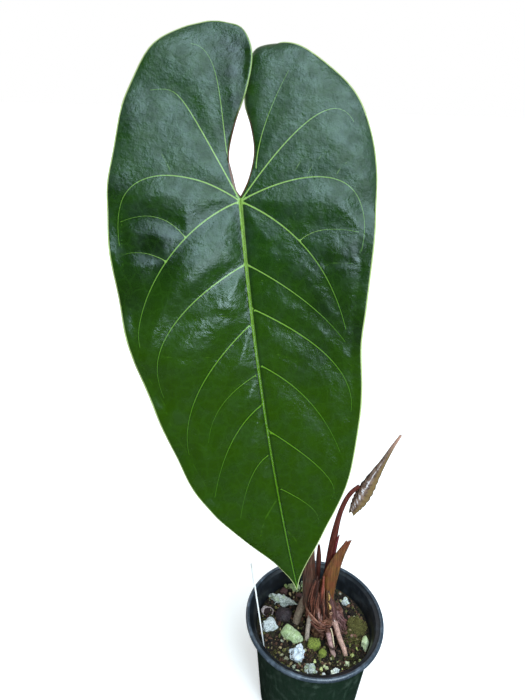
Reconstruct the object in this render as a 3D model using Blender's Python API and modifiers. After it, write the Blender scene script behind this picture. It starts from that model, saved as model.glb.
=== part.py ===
"""Potted anthurium: one long heart-shaped leaf, a furled young leaf and a chunky mix in a nursery pot.

Metres, +Z up. The origin is the middle of the pot's underside, and -Y is the side that the leaf faces.
"""

import math

import bmesh
import bpy
from mathutils import Matrix, Vector, noise
from mathutils.geometry import delaunay_2d_cdt, intersect_point_line

MM = 0.001
GAP = 0.35 * MM  # clearance between two pieces that touch
SUNK = 0.45 * MM  # how much wider a pocket is than the piece that stands in it
SLIVER = 0.06 * MM  # points closer than this after a cut are joined

# Pot
RIM_RADIUS = 54 * MM
RIM_INNER_RADIUS = 50.9 * MM
POT_HEIGHT = 95 * MM
LIP_DEPTH = 3.2 * MM
WALL_TOP_RADIUS = 47.1 * MM
WALL_TOP_BELOW_RIM = 8 * MM
BASE_RADIUS = 40 * MM
WALL = 1.0 * MM
FLOOR = 1.6 * MM
DRAIN_COUNT = 8
DRAIN_RADIUS = 3.5 * MM
DRAIN_CIRCLE = 33 * MM

# Potting mix
MIX_LEVEL = POT_HEIGHT - 17 * MM
MIX_BUMP = 1.3 * MM
MIX_GRAIN = 9 * MM
MIX_RINGS = 13

# Large leaf. Its drawing is flat: x to the right and d down the blade, in millimetres from the junction
JUNCTION = Vector((-62, 6, 409)) * MM
BLADE_LEAN = math.radians(25)
BLADE_BEND_RADIUS = 900 * MM
BLADE_THICKNESS = 0.9 * MM
RIB_THICKNESS = 2.6 * MM
BLADE_STEP = 7.0  # millimetres between points of the blade's mesh
LEFT_SINUS = ((0, -3), (-4, -9), (-7, -25), (-4, -42), (1.5, -60), (4, -80), (-1, -95.5), (-10, -99.5))
LEFT_MARGIN = (
    (-20, -101), (-35.5, -96.8), (-53.2, -82.3), (-65, -55), (-70.5, -20), (-72, 10), (-68, 38), (-57, 83),
    (-40.5, 125), (-24, 159), (-8.3, 179.2), (10.3, 195.5), (25, 208), (35, 218.5), (40, 227),
)
RIGHT_SINUS = ((0, -3), (4, -12), (6.5, -27), (4.2, -42), (0.3, -56), (0.5, -75), (5.5, -87))
RIGHT_MARGIN = (
    (17.5, -91), (32.5, -86.2), (55, -68.5), (68.2, -46), (73.3, -18), (73.2, 14), (70.8, 54), (69.2, 76),
    (70.6, 100), (70, 122), (64.5, 158), (53.8, 185), (45.6, 205), (41.2, 218), (40, 227),
)
# Each vein is a curve by its handles, with how far it stands out at the back, from 0 to 1
LEFT_VEINS = (
    (((0, 0), (-37, -61), (-34, -62), (-51, -59)), 0.45),
    (((0, 0), (-14, -21), (-8, -86), (-30, -86)), 0.35),
    (((0, 0), (-30, -18), (-75, -18), (-64, 27)), 0.6),
    (((0, 0), (-28, 11), (-58, 57), (-51, 81)), 0.6),
    (((4, 34), (-54, 73), (-39, 109)), 0.5),
    (((8.5, 66), (-32, 107), (-25, 142)), 0.5),
    (((13, 94), (-13, 110), (-14, 134)), 0.3),
    (((16, 111), (-5, 128), (-10, 167)), 0.4),
    (((21.5, 140), (9, 146), (5, 179)), 0.3),
)
RIGHT_VEINS = (
    (((0, 0), (46, -69), (60, -44)), 0.45),
    (((8, -18), (8, -38), (24, -72)), 0.3),
    (((0, 0), (28, -16), (75, -26), (66, 26)), 0.6),
    (((0, 0), (46, 20), (60, 68)), 0.6),
    (((4, 34), (43, 53), (60, 75)), 0.5),
    (((7.5, 58), (68, 83), (65, 114)), 0.5),
    (((12.5, 89), (46, 104), (60, 137)), 0.4),
    (((18.5, 126), (67, 154), (56, 166)), 0.4),
    (((25.5, 160), (52, 171), (50, 181)), 0.3),
)
FOLD_HEIGHT = 5.0  # millimetres that each half rises from the midrib
FOLD_REACH = 30.0
MARGIN_CURL = 3.0
MARGIN_CURL_REACH = 8.0
SINUS_ROLL = 4.5
SINUS_ROLL_REACH = 3.5
WAVE_HEIGHT = 1.6
WAVE_LENGTH = 41.0
WAVE_REACH = 14.0
QUILT_HEIGHT = 1.4
QUILT_REACH = 6.0
LOBE_SPLIT = 1.8  # the left lobe passes this much before the right one, which lies as much behind

# Stems. Every path is in millimetres, with the radius at each of its points
PETIOLE_PATH = (
    (-4.2, 3, 100), (-6, 3.2, 128), (-8.2, 4, 158), (-14, 8, 205), (-26, 14, 265), (-41, 20, 330),
    (-54, 23, 380), (-59.5, 20.5, 397), (-61.6, 14, 404.6), (-62, 9, 407.6),
)
PETIOLE_RADII = (3.4, 3.3, 3.1, 2.9, 2.6, 2.4, 2.3, 2.5, 2.6, 2.3)
YOUNG_PETIOLE_PATH = (
    (7.5, 5, 100), (8, 5.2, 125), (8.6, 5.6, 145), (9.8, 6.5, 168), (12, 7.3, 188), (15.2, 8, 201),
    (19, 8.6, 209), (24, 9, 214.6),
)
YOUNG_PETIOLE_RADII = (3.4, 3.3, 3.1, 2.6, 1.9, 1.7, 1.6, 1.4)
YOUNG_LEAF_PATH = (
    (21.3, 8, 191), (22.6, 8, 195), (25, 8, 201), (27.5, 8, 207.5), (30.2, 8, 215), (33.7, 8, 225),
    (38.3, 8, 237), (42.8, 8, 249), (47.2, 8, 259),
)
YOUNG_LEAF_RADII = (1.6, 3.4, 5.0, 5.5, 5.1, 3.7, 2.1, 1.2, 0.6)
BUD_SCALE_PATH = ((1.8, 7.5, 104), (1.0, 7.5, 130), (0.3, 7.2, 146), (-0.6, 6.8, 160))
BUD_SCALE_RADII = (1.5, 1.5, 1.8, 0.8)
CROWN_AXIS = ((8.5, 2.5), (3.0, 4.0))  # x and y of the crown's middle at the mix and at its top
CROWN_TOP = 113.0
CROWN_PROFILE = ((0, 113.5), (8, 113), (9.6, 110), (10.6, 102), (12.2, 92), (12.6, 82), (11.5, 74), (8, 66.2), (0, 66))
CROWN_RIDGE = 0.9
# Aerial roots grow out of the crown: each is a path in millimetres with its radius
ROOTS = (
    ((12, 0, 96), (15.5, -6, 93), (19, -14, 86), (22.6, -20.5, 80), (24.6, -23.6, 72), 2.0),
    ((9, -2, 92), (10.5, -12.5, 88), (12.5, -19, 82), (14.4, -23.4, 77), (15, -24.6, 71), 1.9),
    ((0, 0, 100), (-3.4, -4, 97), (-5.2, -8.2, 89), (-5.6, -11, 80), (-5.7, -11.8, 71), 1.8),
    ((-1, 5, 108), (-6.5, 6, 104), (-10.5, 5.2, 92), (-13, 4.4, 80), (-13.8, 4, 71), 3.2),
    ((14, 6, 99), (19, 6, 95), (21.6, 5.2, 88), (23.4, 3.6, 79), (24, 3, 71), 2.5),
)
# A fibre bundle that lies across the crown
STRAND = ((-5, -1, 101), (-1, -8, 99.5), (5, -10.5, 96), (11, -9.5, 93), (14, -4, 92))
STRAND_RADIUS = 1.4

# Sheaths: foot and tip of the middle line, the power by which it leans out, its radius of curl, the way
# that it faces, half its spread at foot and tip, and how much of that the tip keeps
SHEATHS = {
    "cataphyll_left": {
        "foot": (-4.3, 3, 101), "tip": (-10.2, 4.9, 184), "bow": 1.0, "curl": 4.5, "faces": -80,
        "spread": (120, 70), "blunt": 0.06,
    },
    "cataphyll_right": {
        "foot": (8.4, 4.8, 104), "tip": (18.4, 6.2, 171), "bow": 2.6, "curl": 6.0, "faces": -75,
        "spread": (100, 62), "blunt": 0.3,
    },
}
SHEATH_THICKNESS = 0.8 * MM

# Plant label
LABEL_SIZE = Vector((0.8, 12, 106)) * MM
LABEL_FOOT = Vector((-39.2, -16, 78)) * MM
LABEL_SUNK = 20 * MM
LABEL_LEAN = math.radians(-7.5)
LABEL_TURN = math.radians(9.5)

# Loose pieces on the mix: place in plan, half sizes, height of the middle over the mix, turn in plan
PIECES = {
    "pumice_grey_long": ((-24.3, 24.0), (13.2, 5.0, 5.0), 1.6, -16, "pumice_grey"),
    "bark_round": ((-22.9, 9.4), (8.0, 7.2, 5.0), 1.6, 20, "bark"),
    "shell_chip": ((-36.6, 12.9), (5.6, 4.2, 3.4), 1.2, -30, "pumice_pink"),
    "pumice_white": ((-34.6, 0.2), (6.6, 6.2, 5.0), 1.6, 25, "pumice_white"),
    "pumice_green_long": ((-17.8, -7.4), (10.8, 4.8, 4.6), 1.8, -37, "pumice_green"),
    "mossy_stone_large": ((-0.5, -15.8), (5.0, 5.2, 5.0), 1.6, 0, "mossy_stone"),
    "mossy_stone_small": ((5.4, -22.4), (3.6, 3.4, 3.2), 1.0, 15, "mossy_stone"),
    "pumice_crumpled": ((-14.6, -22.8), (7.0, 6.4, 5.4), 2.2, 40, "pumice_white"),
    "pumice_flake": ((-4.0, -34.2), (7.2, 4.0, 3.2), 0.9, -48, "pumice_white"),
    "perlite_chip": ((28.9, 24.2), (3.6, 3.6, 3.2), 1.2, 0, "pumice_white"),
    "moss_clump": ((35.6, 1.6), (8.0, 8.8, 4.2), 0.6, 0, "moss"),
    "pumice_by_wall": ((39.6, -13.8), (2.6, 6.8, 4.6), 1.4, -19, "pumice_green"),
    "bark_back": ((-22.4, 33.4), (4.2, 3.0, 3.0), 1.0, 35, "bark"),
    "mossy_pumice_back": ((-12.4, 37.2), (4.2, 4.6, 4.0), 1.4, 0, "mossy_stone"),
    "pumice_back": ((-3.6, 39.0), (4.0, 3.4, 3.4), 1.2, 20, "pumice_green"),
    "wood_chip": ((-9.6, 29.0), (3.4, 2.4, 2.2), 0.8, -20, "bark"),
}
PIECE_LUMP = 0.16  # how uneven a piece is, as a share of its size


def srgb_to_linear(value):
    return value / 12.92 if value <= 0.04045 else ((value + 0.055) / 1.055) ** 2.4


def make_material(name, hex_colour, roughness):
    """A plain finish in the piece's own colour."""
    material = bpy.data.materials.new(name)
    material.use_nodes = True
    surface = material.node_tree.nodes["Principled BSDF"]
    channels = [int(hex_colour[i : i + 2], 16) / 255 for i in (0, 2, 4)]
    surface.inputs["Base Color"].default_value = (*map(srgb_to_linear, channels), 1)
    surface.inputs["Roughness"].default_value = roughness
    surface.inputs["Metallic"].default_value = 0
    material.diffuse_color = (*map(srgb_to_linear, channels), 1)
    return material


def clear_scene():
    for obj in list(bpy.data.objects):
        bpy.data.objects.remove(obj)


def new_collection(name):
    collection = bpy.data.collections.new(name)
    bpy.context.scene.collection.children.link(collection)
    return collection


def add_mesh(name, mesh, collection, material=None):
    """An object with this mesh, shaded smooth but for its hard edges."""
    obj = bpy.data.objects.new(name, mesh)
    collection.objects.link(obj)
    if material:
        mesh.materials.clear()
        mesh.materials.append(material)
    mesh.shade_smooth()
    mesh.set_sharp_from_angle(angle=math.radians(40))
    return obj


def applied(obj):
    """Gives the object the mesh that its modifiers make."""
    graph = bpy.context.evaluated_depsgraph_get()
    mesh = bpy.data.meshes.new_from_object(obj.evaluated_get(graph))
    obj.modifiers.clear()
    obj.data = mesh
    return obj


def turned(name, profile, steps, collection, material=None):
    """A solid of revolution. The profile runs down its outer side, and ends on the axis or closes."""
    mesh = bpy.data.meshes.new(name)
    count = len(profile)
    closes = profile[0][0] > 1 * MM
    edges = [(i, (i + 1) % count) for i in range(count if closes else count - 1)]
    mesh.from_pydata([(radius, 0, z) for radius, z in profile], edges, [])
    obj = add_mesh(name, mesh, collection, material)
    screw = obj.modifiers.new("Turn", "SCREW")
    screw.steps = steps
    screw.render_steps = steps
    screw.use_merge_vertices = True
    screw.merge_threshold = 0.01 * MM
    return applied(obj)


def smooth_path(points, per_span):
    """Points along a smooth curve through these, so many to a span. Any number of values a point."""
    ends = [points[0], *points, points[-1]]
    path = []
    for before, start, end, after in zip(ends, ends[1:], ends[2:], ends[3:]):
        for step in range(per_span):
            t = step / per_span
            path.append(tuple(
                0.5 * (2 * b + (c - a) * t + (2 * a - 5 * b + 4 * c - d) * t**2 + (3 * b - a - 3 * c + d) * t**3)
                for a, b, c, d in zip(before, start, end, after)
            ))
    path.append(tuple(float(value) for value in points[-1]))
    return path


def bezier(handles, t):
    """The point at t of the curve with these handles."""
    points = [Vector(handle) for handle in handles]
    while len(points) > 1:
        points = [a.lerp(b, t) for a, b in zip(points, points[1:])]
    return points[0]


def tube(name, path, radii, collection, material=None, per_span=3, roundness=2):
    """A closed round stem along a path in millimetres, with its own radius at every point."""
    smooth = smooth_path([(*point, radius) for point, radius in zip(path, radii)], per_span)
    curve = bpy.data.curves.new(name, "CURVE")
    curve.dimensions = "3D"
    curve.bevel_depth = MM
    curve.bevel_resolution = roundness
    curve.use_fill_caps = True
    spline = curve.splines.new("POLY")
    spline.points.add(len(smooth) - 1)
    for point, (x, y, z, radius) in zip(spline.points, smooth):
        point.co = (x * MM, y * MM, z * MM, 1)
        point.radius = radius
    guide = bpy.data.objects.new(name + "_guide", curve)
    collection.objects.link(guide)
    graph = bpy.context.evaluated_depsgraph_get()
    mesh = bpy.data.meshes.new_from_object(guide.evaluated_get(graph))
    bpy.data.objects.remove(guide)
    weld(mesh)
    return add_mesh(name, mesh, collection, material)


def weld(mesh, distance=0.02 * MM):
    """Joins points this close, as where a curve's caps meet its sides, and turns every face outwards."""
    shape = bmesh.new()
    shape.from_mesh(mesh)
    bmesh.ops.remove_doubles(shape, verts=shape.verts, dist=distance)
    bmesh.ops.dissolve_degenerate(shape, edges=shape.edges, dist=distance)
    bmesh.ops.recalc_face_normals(shape, faces=shape.faces)
    shape.to_mesh(mesh)
    shape.free()


def boolean(obj, operation, operand):
    """Cuts the operand from the object or joins it on. The operand is an object or a collection."""
    change = obj.modifiers.new(operation, "BOOLEAN")
    change.operation = operation
    change.solver = "EXACT"
    if isinstance(operand, bpy.types.Collection):
        change.operand_type = "COLLECTION"
        change.collection = operand
    else:
        change.object = operand
    return applied(obj)


def empty_collection(collection):
    for obj in list(collection.objects):
        bpy.data.objects.remove(obj)


def cut_pockets(host, pieces, cutters):
    """Cuts from the host a pocket for each of these pieces, a little wider all round than the piece."""
    for piece in pieces:
        wider = bpy.data.objects.new("pocket_" + piece.name, piece.data.copy())
        wider.matrix_world = piece.matrix_world
        cutters.objects.link(wider)
        wider.display_type = "WIRE"
        wider.hide_render = True
        swell = wider.modifiers.new("Swell", "DISPLACE")
        swell.strength = SUNK
        swell.mid_level = 0
        applied(wider)
    boolean(host, "DIFFERENCE", cutters)
    weld(host.data, SLIVER)
    empty_collection(cutters)


def make_pot(parts, cutters, material):
    """Thin tapered wall under a rolled rim, with a stacking step inside and drain holes in its floor."""
    bead = (RIM_RADIUS - RIM_INNER_RADIUS) / 2
    middle = RIM_INNER_RADIUS + bead
    top = POT_HEIGHT - bead
    wall_top = POT_HEIGHT - WALL_TOP_BELOW_RIM
    lip = POT_HEIGHT - LIP_DEPTH
    profile = [
        (middle + bead * math.cos(angle), top + bead * math.sin(angle))
        for angle in (math.radians(degrees) for degrees in range(150, -1, -30))
    ]
    profile += [
        (RIM_RADIUS - 0.1 * MM, lip + 0.6 * MM),
        (RIM_RADIUS - 1.0 * MM, lip),
        (WALL_TOP_RADIUS + 1.8 * MM, lip),
        (WALL_TOP_RADIUS, wall_top),
        (BASE_RADIUS + 0.3 * MM, 1.2 * MM),
        (BASE_RADIUS - 0.8 * MM, 0),
        (0, 0),
        (0, FLOOR),
        (BASE_RADIUS - WALL - 1.2 * MM, FLOOR),
        (BASE_RADIUS - WALL, FLOOR + 1.2 * MM),
        (WALL_TOP_RADIUS - WALL, wall_top - 0.4 * MM),
        (WALL_TOP_RADIUS + 1.2 * MM, lip + 1.1 * MM),
        (RIM_INNER_RADIUS, lip + 1.9 * MM),
    ]
    pot = turned("pot", profile, 56, parts, material)
    holes = bmesh.new()
    for index in range(DRAIN_COUNT):
        angle = 2 * math.pi * (index + 0.5) / DRAIN_COUNT
        place = Matrix.Translation((DRAIN_CIRCLE * math.cos(angle), DRAIN_CIRCLE * math.sin(angle), FLOOR / 2))
        bmesh.ops.create_cone(
            holes, cap_ends=True, segments=12, radius1=DRAIN_RADIUS, radius2=DRAIN_RADIUS, depth=4 * FLOOR, matrix=place
        )
    mesh = bpy.data.meshes.new("drain_holes")
    holes.to_mesh(mesh)
    holes.free()
    drains = add_mesh("drain_holes", mesh, cutters)
    boolean(pot, "DIFFERENCE", drains)
    empty_collection(cutters)
    return pot


def mix_height(x, y):
    """How far the mix stands over its mean level at a place in plan, lumpy like bark and pumice."""
    place = Vector((x, y, 0)) / MIX_GRAIN
    coarse = noise.noise(place)
    fine = noise.noise(place * 2.3 + Vector((7, 3, 1)))
    return MIX_BUMP * (coarse + 0.6 * fine)


def make_mix(parts, material):
    """The mix fills the pot to its level. Its top is lumpy, level again where it meets the wall."""
    slope = (WALL_TOP_RADIUS - BASE_RADIUS) / (POT_HEIGHT - WALL_TOP_BELOW_RIM)
    top_radius = BASE_RADIUS - WALL - GAP + slope * MIX_LEVEL
    foot_radius = BASE_RADIUS - WALL - GAP - 1.0 * MM
    profile = [(top_radius * ring / MIX_RINGS, MIX_LEVEL) for ring in range(MIX_RINGS + 1)]
    profile += [
        (foot_radius + 0.8 * MM, FLOOR + 3 * MM),
        (foot_radius, FLOOR + GAP),
        (0, FLOOR + GAP),
    ]
    mix = turned("potting_mix", profile, 44, parts, material)
    for vertex in mix.data.vertices:
        radius = math.hypot(vertex.co.x, vertex.co.y)
        if vertex.co.z > MIX_LEVEL - 1 * MM and radius < top_radius - 1 * MM:
            vertex.co.z += mix_height(vertex.co.x, vertex.co.y)
    return mix


def midrib_x(d):
    """Where the midrib lies across the drawing: it leans and bows to the right towards the tip."""
    return 0.112 * d + 0.00029 * d * d if d > 0 else 0.0


def distance_to(point, line):
    """Distance of a point of the drawing from a line of points."""
    nearest = 1000.0
    for start, end in zip(line, line[1:]):
        foot, share = intersect_point_line(point, start, end)
        foot = start if share < 0 else end if share > 1 else foot
        nearest = min(nearest, (foot - point).length)
    return nearest


def smoothstep(low, high, value):
    t = min(max((value - low) / (high - low), 0), 1)
    return t * t * (3 - 2 * t)


class Half:
    """One side of the blade: its inner edge, its margin and its veins, as lines in the flat drawing."""

    def __init__(self, sinus, margin, veins, side):
        self.side = side
        self.sinus = [Vector(point) for point in smooth_path([*sinus, margin[0]], 4)]
        self.margin = [Vector(point) for point in smooth_path(margin, 4)]
        self.veins = [([bezier(handles, t / 16) for t in range(17)], strength) for handles, strength in veins]

    def relief(self, point):
        """Height of the blade's face over its bent sheet, in millimetres."""
        x, d = point
        across = abs(x - midrib_x(d))
        outer = smoothstep(0, 12, across)
        from_margin = distance_to(point, self.margin)
        from_sinus = distance_to(point, self.sinus)
        from_vein = min([across] + [distance_to(point, line) for line, _ in self.veins])
        height = FOLD_HEIGHT * (1 - math.exp(-across / FOLD_REACH))
        height -= MARGIN_CURL * math.exp(-from_margin / MARGIN_CURL_REACH) * outer
        height -= SINUS_ROLL * math.exp(-from_sinus / SINUS_ROLL_REACH) * smoothstep(-8, -40, d)
        wave = math.sin(2 * math.pi * (d + 0.35 * self.side * x) / WAVE_LENGTH + 0.8 * self.side)
        height += WAVE_HEIGHT * wave * math.exp(-from_margin / WAVE_REACH) * outer
        height += QUILT_HEIGHT * (1 - math.exp(-((from_vein / QUILT_REACH) ** 2)))
        height -= LOBE_SPLIT * self.side * smoothstep(-25, -60, d) * math.exp(-from_sinus / 12)
        return height


def blade_point(flat, height):
    """A point of the drawing, bent back over a wide arc and leaning as the blade hangs, with its height."""
    down = flat[1] * MM
    lean = BLADE_LEAN - down / BLADE_BEND_RADIUS
    forward = BLADE_BEND_RADIUS * (math.cos(lean) - math.cos(BLADE_LEAN))
    fallen = BLADE_BEND_RADIUS * (math.sin(BLADE_LEAN) - math.sin(lean))
    out = Vector((0, -math.cos(lean), math.sin(lean)))
    return JUNCTION + Vector((flat[0] * MM, -forward, -fallen)) + out * height * MM


def evenly(line, step):
    """The line's points drawn again at an even distance close to step, with both its ends."""
    lengths = [(b - a).length for a, b in zip(line, line[1:])]
    count = max(1, round(sum(lengths) / step))
    points = [line[0]]
    index = 0
    passed = 0.0
    for number in range(1, count):
        along = sum(lengths) * number / count
        while passed + lengths[index] < along:
            passed += lengths[index]
            index += 1
        points.append(line[index].lerp(line[index + 1], (along - passed) / lengths[index]))
    points.append(line[-1])
    return points


def inside(point, loop):
    """Whether a point of the drawing lies inside a closed loop of points."""
    within = False
    for a, b in zip(loop, loop[1:] + loop[:1]):
        if (a.y > point.y) != (b.y > point.y):
            within ^= point.x < a.x + (b.x - a.x) * (point.y - a.y) / (b.y - a.y)
    return within


def half_mesh(half, step):
    """Points and triangles of one half of the drawing, with an edge of the mesh along every vein."""
    tip = half.margin[-1]
    midrib = [Vector((midrib_x(d), d)) for d in (tip.y * i / 60 for i in range(61))]
    midrib = [half.sinus[0]] + evenly(midrib, step)
    midrib[-1] = tip
    rim = evenly(half.sinus + half.margin[1:], step)
    loop = midrib[:-1] + rim[:0:-1]
    points = list(loop)
    edges = [(i, (i + 1) % len(loop)) for i in range(len(loop))]
    weights = [1.0] * (len(midrib) - 1) + [0.0] * (len(rim) - 1)
    for line, strength in half.veins:
        kept = [point for point in evenly(line, step) if distance_to(point, loop + loop[:1]) > 0.3 * step]
        edges += [(len(points) + i, len(points) + i + 1) for i in range(len(kept) - 1)]
        points += kept
        weights += [strength * (1 - 0.5 * i / len(kept)) for i in range(len(kept))]
    lines = [line for line, _ in half.veins] + [loop + loop[:1]]
    for row in range(-20, 45):
        for column in range(-14, 15):
            point = Vector(((column + 0.5 * (row % 2)) * step, row * step * 0.866))
            if inside(point, loop) and min(distance_to(point, line) for line in lines) > 0.5 * step:
                points.append(point)
                weights.append(0.0)
    found, _, faces, origins, _, _ = delaunay_2d_cdt(points, edges, [list(range(len(loop)))], 1, 0.01)
    kept_weights = [max((weights[i] for i in origin), default=0.3) for origin in origins]
    return [Vector(point) for point in found], faces, kept_weights


def make_blade(parts, material):
    """The blade as an open waved face that is thickened backwards, more along its ribs."""
    shape = bmesh.new()
    ribs = shape.verts.layers.deform.verify()
    for sinus, margin, veins, side in (
        (LEFT_SINUS, LEFT_MARGIN, LEFT_VEINS, -1),
        (RIGHT_SINUS, RIGHT_MARGIN, RIGHT_VEINS, 1),
    ):
        half = Half(sinus, margin, veins, side)
        points, faces, weights = half_mesh(half, BLADE_STEP)
        made = [shape.verts.new(blade_point(point, half.relief(point))) for point in points]
        for vertex, weight in zip(made, weights):
            vertex[ribs][0] = weight
        for face in faces:
            shape.faces.new([made[i] for i in face])
    bmesh.ops.remove_doubles(shape, verts=shape.verts, dist=0.05 * MM)
    bmesh.ops.recalc_face_normals(shape, faces=shape.faces)
    if sum(face.normal.y * face.calc_area() for face in shape.faces) > 0:
        bmesh.ops.reverse_faces(shape, faces=shape.faces)
    mesh = bpy.data.meshes.new("leaf_blade")
    shape.to_mesh(mesh)
    shape.free()
    blade = add_mesh("leaf_blade", mesh, parts, material)
    blade.vertex_groups.new(name="ribs")
    thicken = blade.modifiers.new("Thicken", "SOLIDIFY")
    thicken.thickness = RIB_THICKNESS
    thicken.offset = -1
    thicken.vertex_group = "ribs"
    thicken.thickness_vertex_group = BLADE_THICKNESS / RIB_THICKNESS
    return applied(blade)


def make_crown(name, collection, shapes, material=None, wider=0):
    """The short stem with its aerial roots and a fibre strand across it, grown in one piece.

    The same shape made wider by so many millimetres cuts its own pocket.
    """
    profile = [((radius + wider) * MM if radius else 0, z * MM) for radius, z in CROWN_PROFILE]
    crown = turned(name, profile, 24, collection, material)
    low, high = (Vector((*place, 0)) for place in CROWN_AXIS)
    for vertex in crown.data.vertices:
        share = min(max((vertex.co.z - MIX_LEVEL) / (CROWN_TOP * MM - MIX_LEVEL), 0), 1)
        turn = math.atan2(vertex.co.y, vertex.co.x)
        rough = noise.noise(Vector((math.cos(turn) * 2.2, math.sin(turn) * 2.2, vertex.co.z / (14 * MM))))
        radius = math.hypot(vertex.co.x, vertex.co.y)
        if radius > 4 * MM:
            factor = 1 + CROWN_RIDGE * MM * (rough * 1.6 + 0.4 * math.sin(7 * turn)) / radius
            vertex.co.x *= factor
            vertex.co.y *= factor
        vertex.co += low.lerp(high, share) * MM
    for number, (*path, radius) in enumerate(ROOTS, 1):
        radii = [radius * share + wider for share in (1.15, 1.1, 1.0, 0.95, 0.9)]
        path[-1] = (*path[-1][:2], path[-1][2] - wider)
        tube(f"root_{number}", path, radii, shapes)
    radii = [STRAND_RADIUS * share + wider for share in (0.8, 1.0, 1.1, 1.0, 0.7)]
    tube("strand", STRAND, radii, shapes)
    boolean(crown, "UNION", shapes)
    empty_collection(shapes)
    return crown


def make_sheath(name, foot, tip, bow, curl, faces, spread, blunt, parts, material):
    """A dry sheath: a gutter that wraps a stem at its foot and narrows to a tip that leans away."""
    foot = Vector(foot)
    tip = Vector(tip)
    rows = 12
    columns = 8
    points = []
    for row in range(rows + 1):
        height = row / rows
        middle = foot.lerp(tip, height**bow)
        middle.z = foot.z + (tip.z - foot.z) * height
        half_spread = math.radians(spread[0] + (spread[1] - spread[0]) * height)
        half_spread *= blunt + (1 - blunt) * (1 - height**3)
        for column in range(columns + 1):
            turn = math.radians(faces) + half_spread * (2 * column / columns - 1)
            ripple = 0.25 * math.sin(5 * height + 2.6 * column)
            points.append(middle + (curl + ripple) * Vector((math.cos(turn), math.sin(turn), 0)))
    wide = columns + 1
    quads = [
        (row * wide + column, row * wide + column + 1, (row + 1) * wide + column + 1, (row + 1) * wide + column)
        for row in range(rows)
        for column in range(columns)
    ]
    mesh = bpy.data.meshes.new(name)
    mesh.from_pydata([point * MM for point in points], [], quads)
    sheath = add_mesh(name, mesh, parts, material)
    thicken = sheath.modifiers.new("Thicken", "SOLIDIFY")
    thicken.thickness = SHEATH_THICKNESS
    thicken.offset = 0
    return applied(sheath)


def make_label(parts, material):
    """A blank strip label pushed into the mix by the wall. It leans out and stands edge on to the front."""
    shape = bmesh.new()
    bmesh.ops.create_cube(shape, size=1)
    mesh = bpy.data.meshes.new("plant_label")
    bmesh.ops.scale(shape, vec=LABEL_SIZE, verts=shape.verts)
    bmesh.ops.translate(shape, vec=(0, 0, LABEL_SIZE.z / 2 - LABEL_SUNK), verts=shape.verts)
    shape.to_mesh(mesh)
    shape.free()
    label = add_mesh("plant_label", mesh, parts, material)
    turn = Matrix.Rotation(LABEL_TURN, 4, "Z") @ Matrix.Rotation(LABEL_LEAN, 4, "Y")
    label.matrix_world = Matrix.Translation(LABEL_FOOT) @ turn
    return label


def make_piece(name, place, half_sizes, rise, turn, parts, material):
    """A lump of pumice, bark or moss that lies half sunk in the mix."""
    shape = bmesh.new()
    bmesh.ops.create_icosphere(shape, subdivisions=2, radius=1)
    seed = Vector((sum(map(ord, name)) % 97, len(name), place[0]))
    for vertex in shape.verts:
        lump = noise.noise(vertex.co * 1.6 + seed) + 0.5 * noise.noise(vertex.co * 3.4 + seed)
        vertex.co *= 1 + 2 * PIECE_LUMP * lump
    largest = [max(abs(vertex.co[axis]) for vertex in shape.verts) for axis in range(3)]
    sizes = [size * MM / reach for size, reach in zip(half_sizes, largest)]
    bmesh.ops.scale(shape, vec=sizes, verts=shape.verts)
    mesh = bpy.data.meshes.new(name)
    shape.to_mesh(mesh)
    shape.free()
    piece = add_mesh(name, mesh, parts, material)
    x, y = place
    middle = Vector((x * MM, y * MM, MIX_LEVEL + rise * MM + mix_height(x * MM, y * MM)))
    piece.matrix_world = Matrix.Translation(middle) @ Matrix.Rotation(math.radians(turn), 4, "Z")
    return piece


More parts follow.
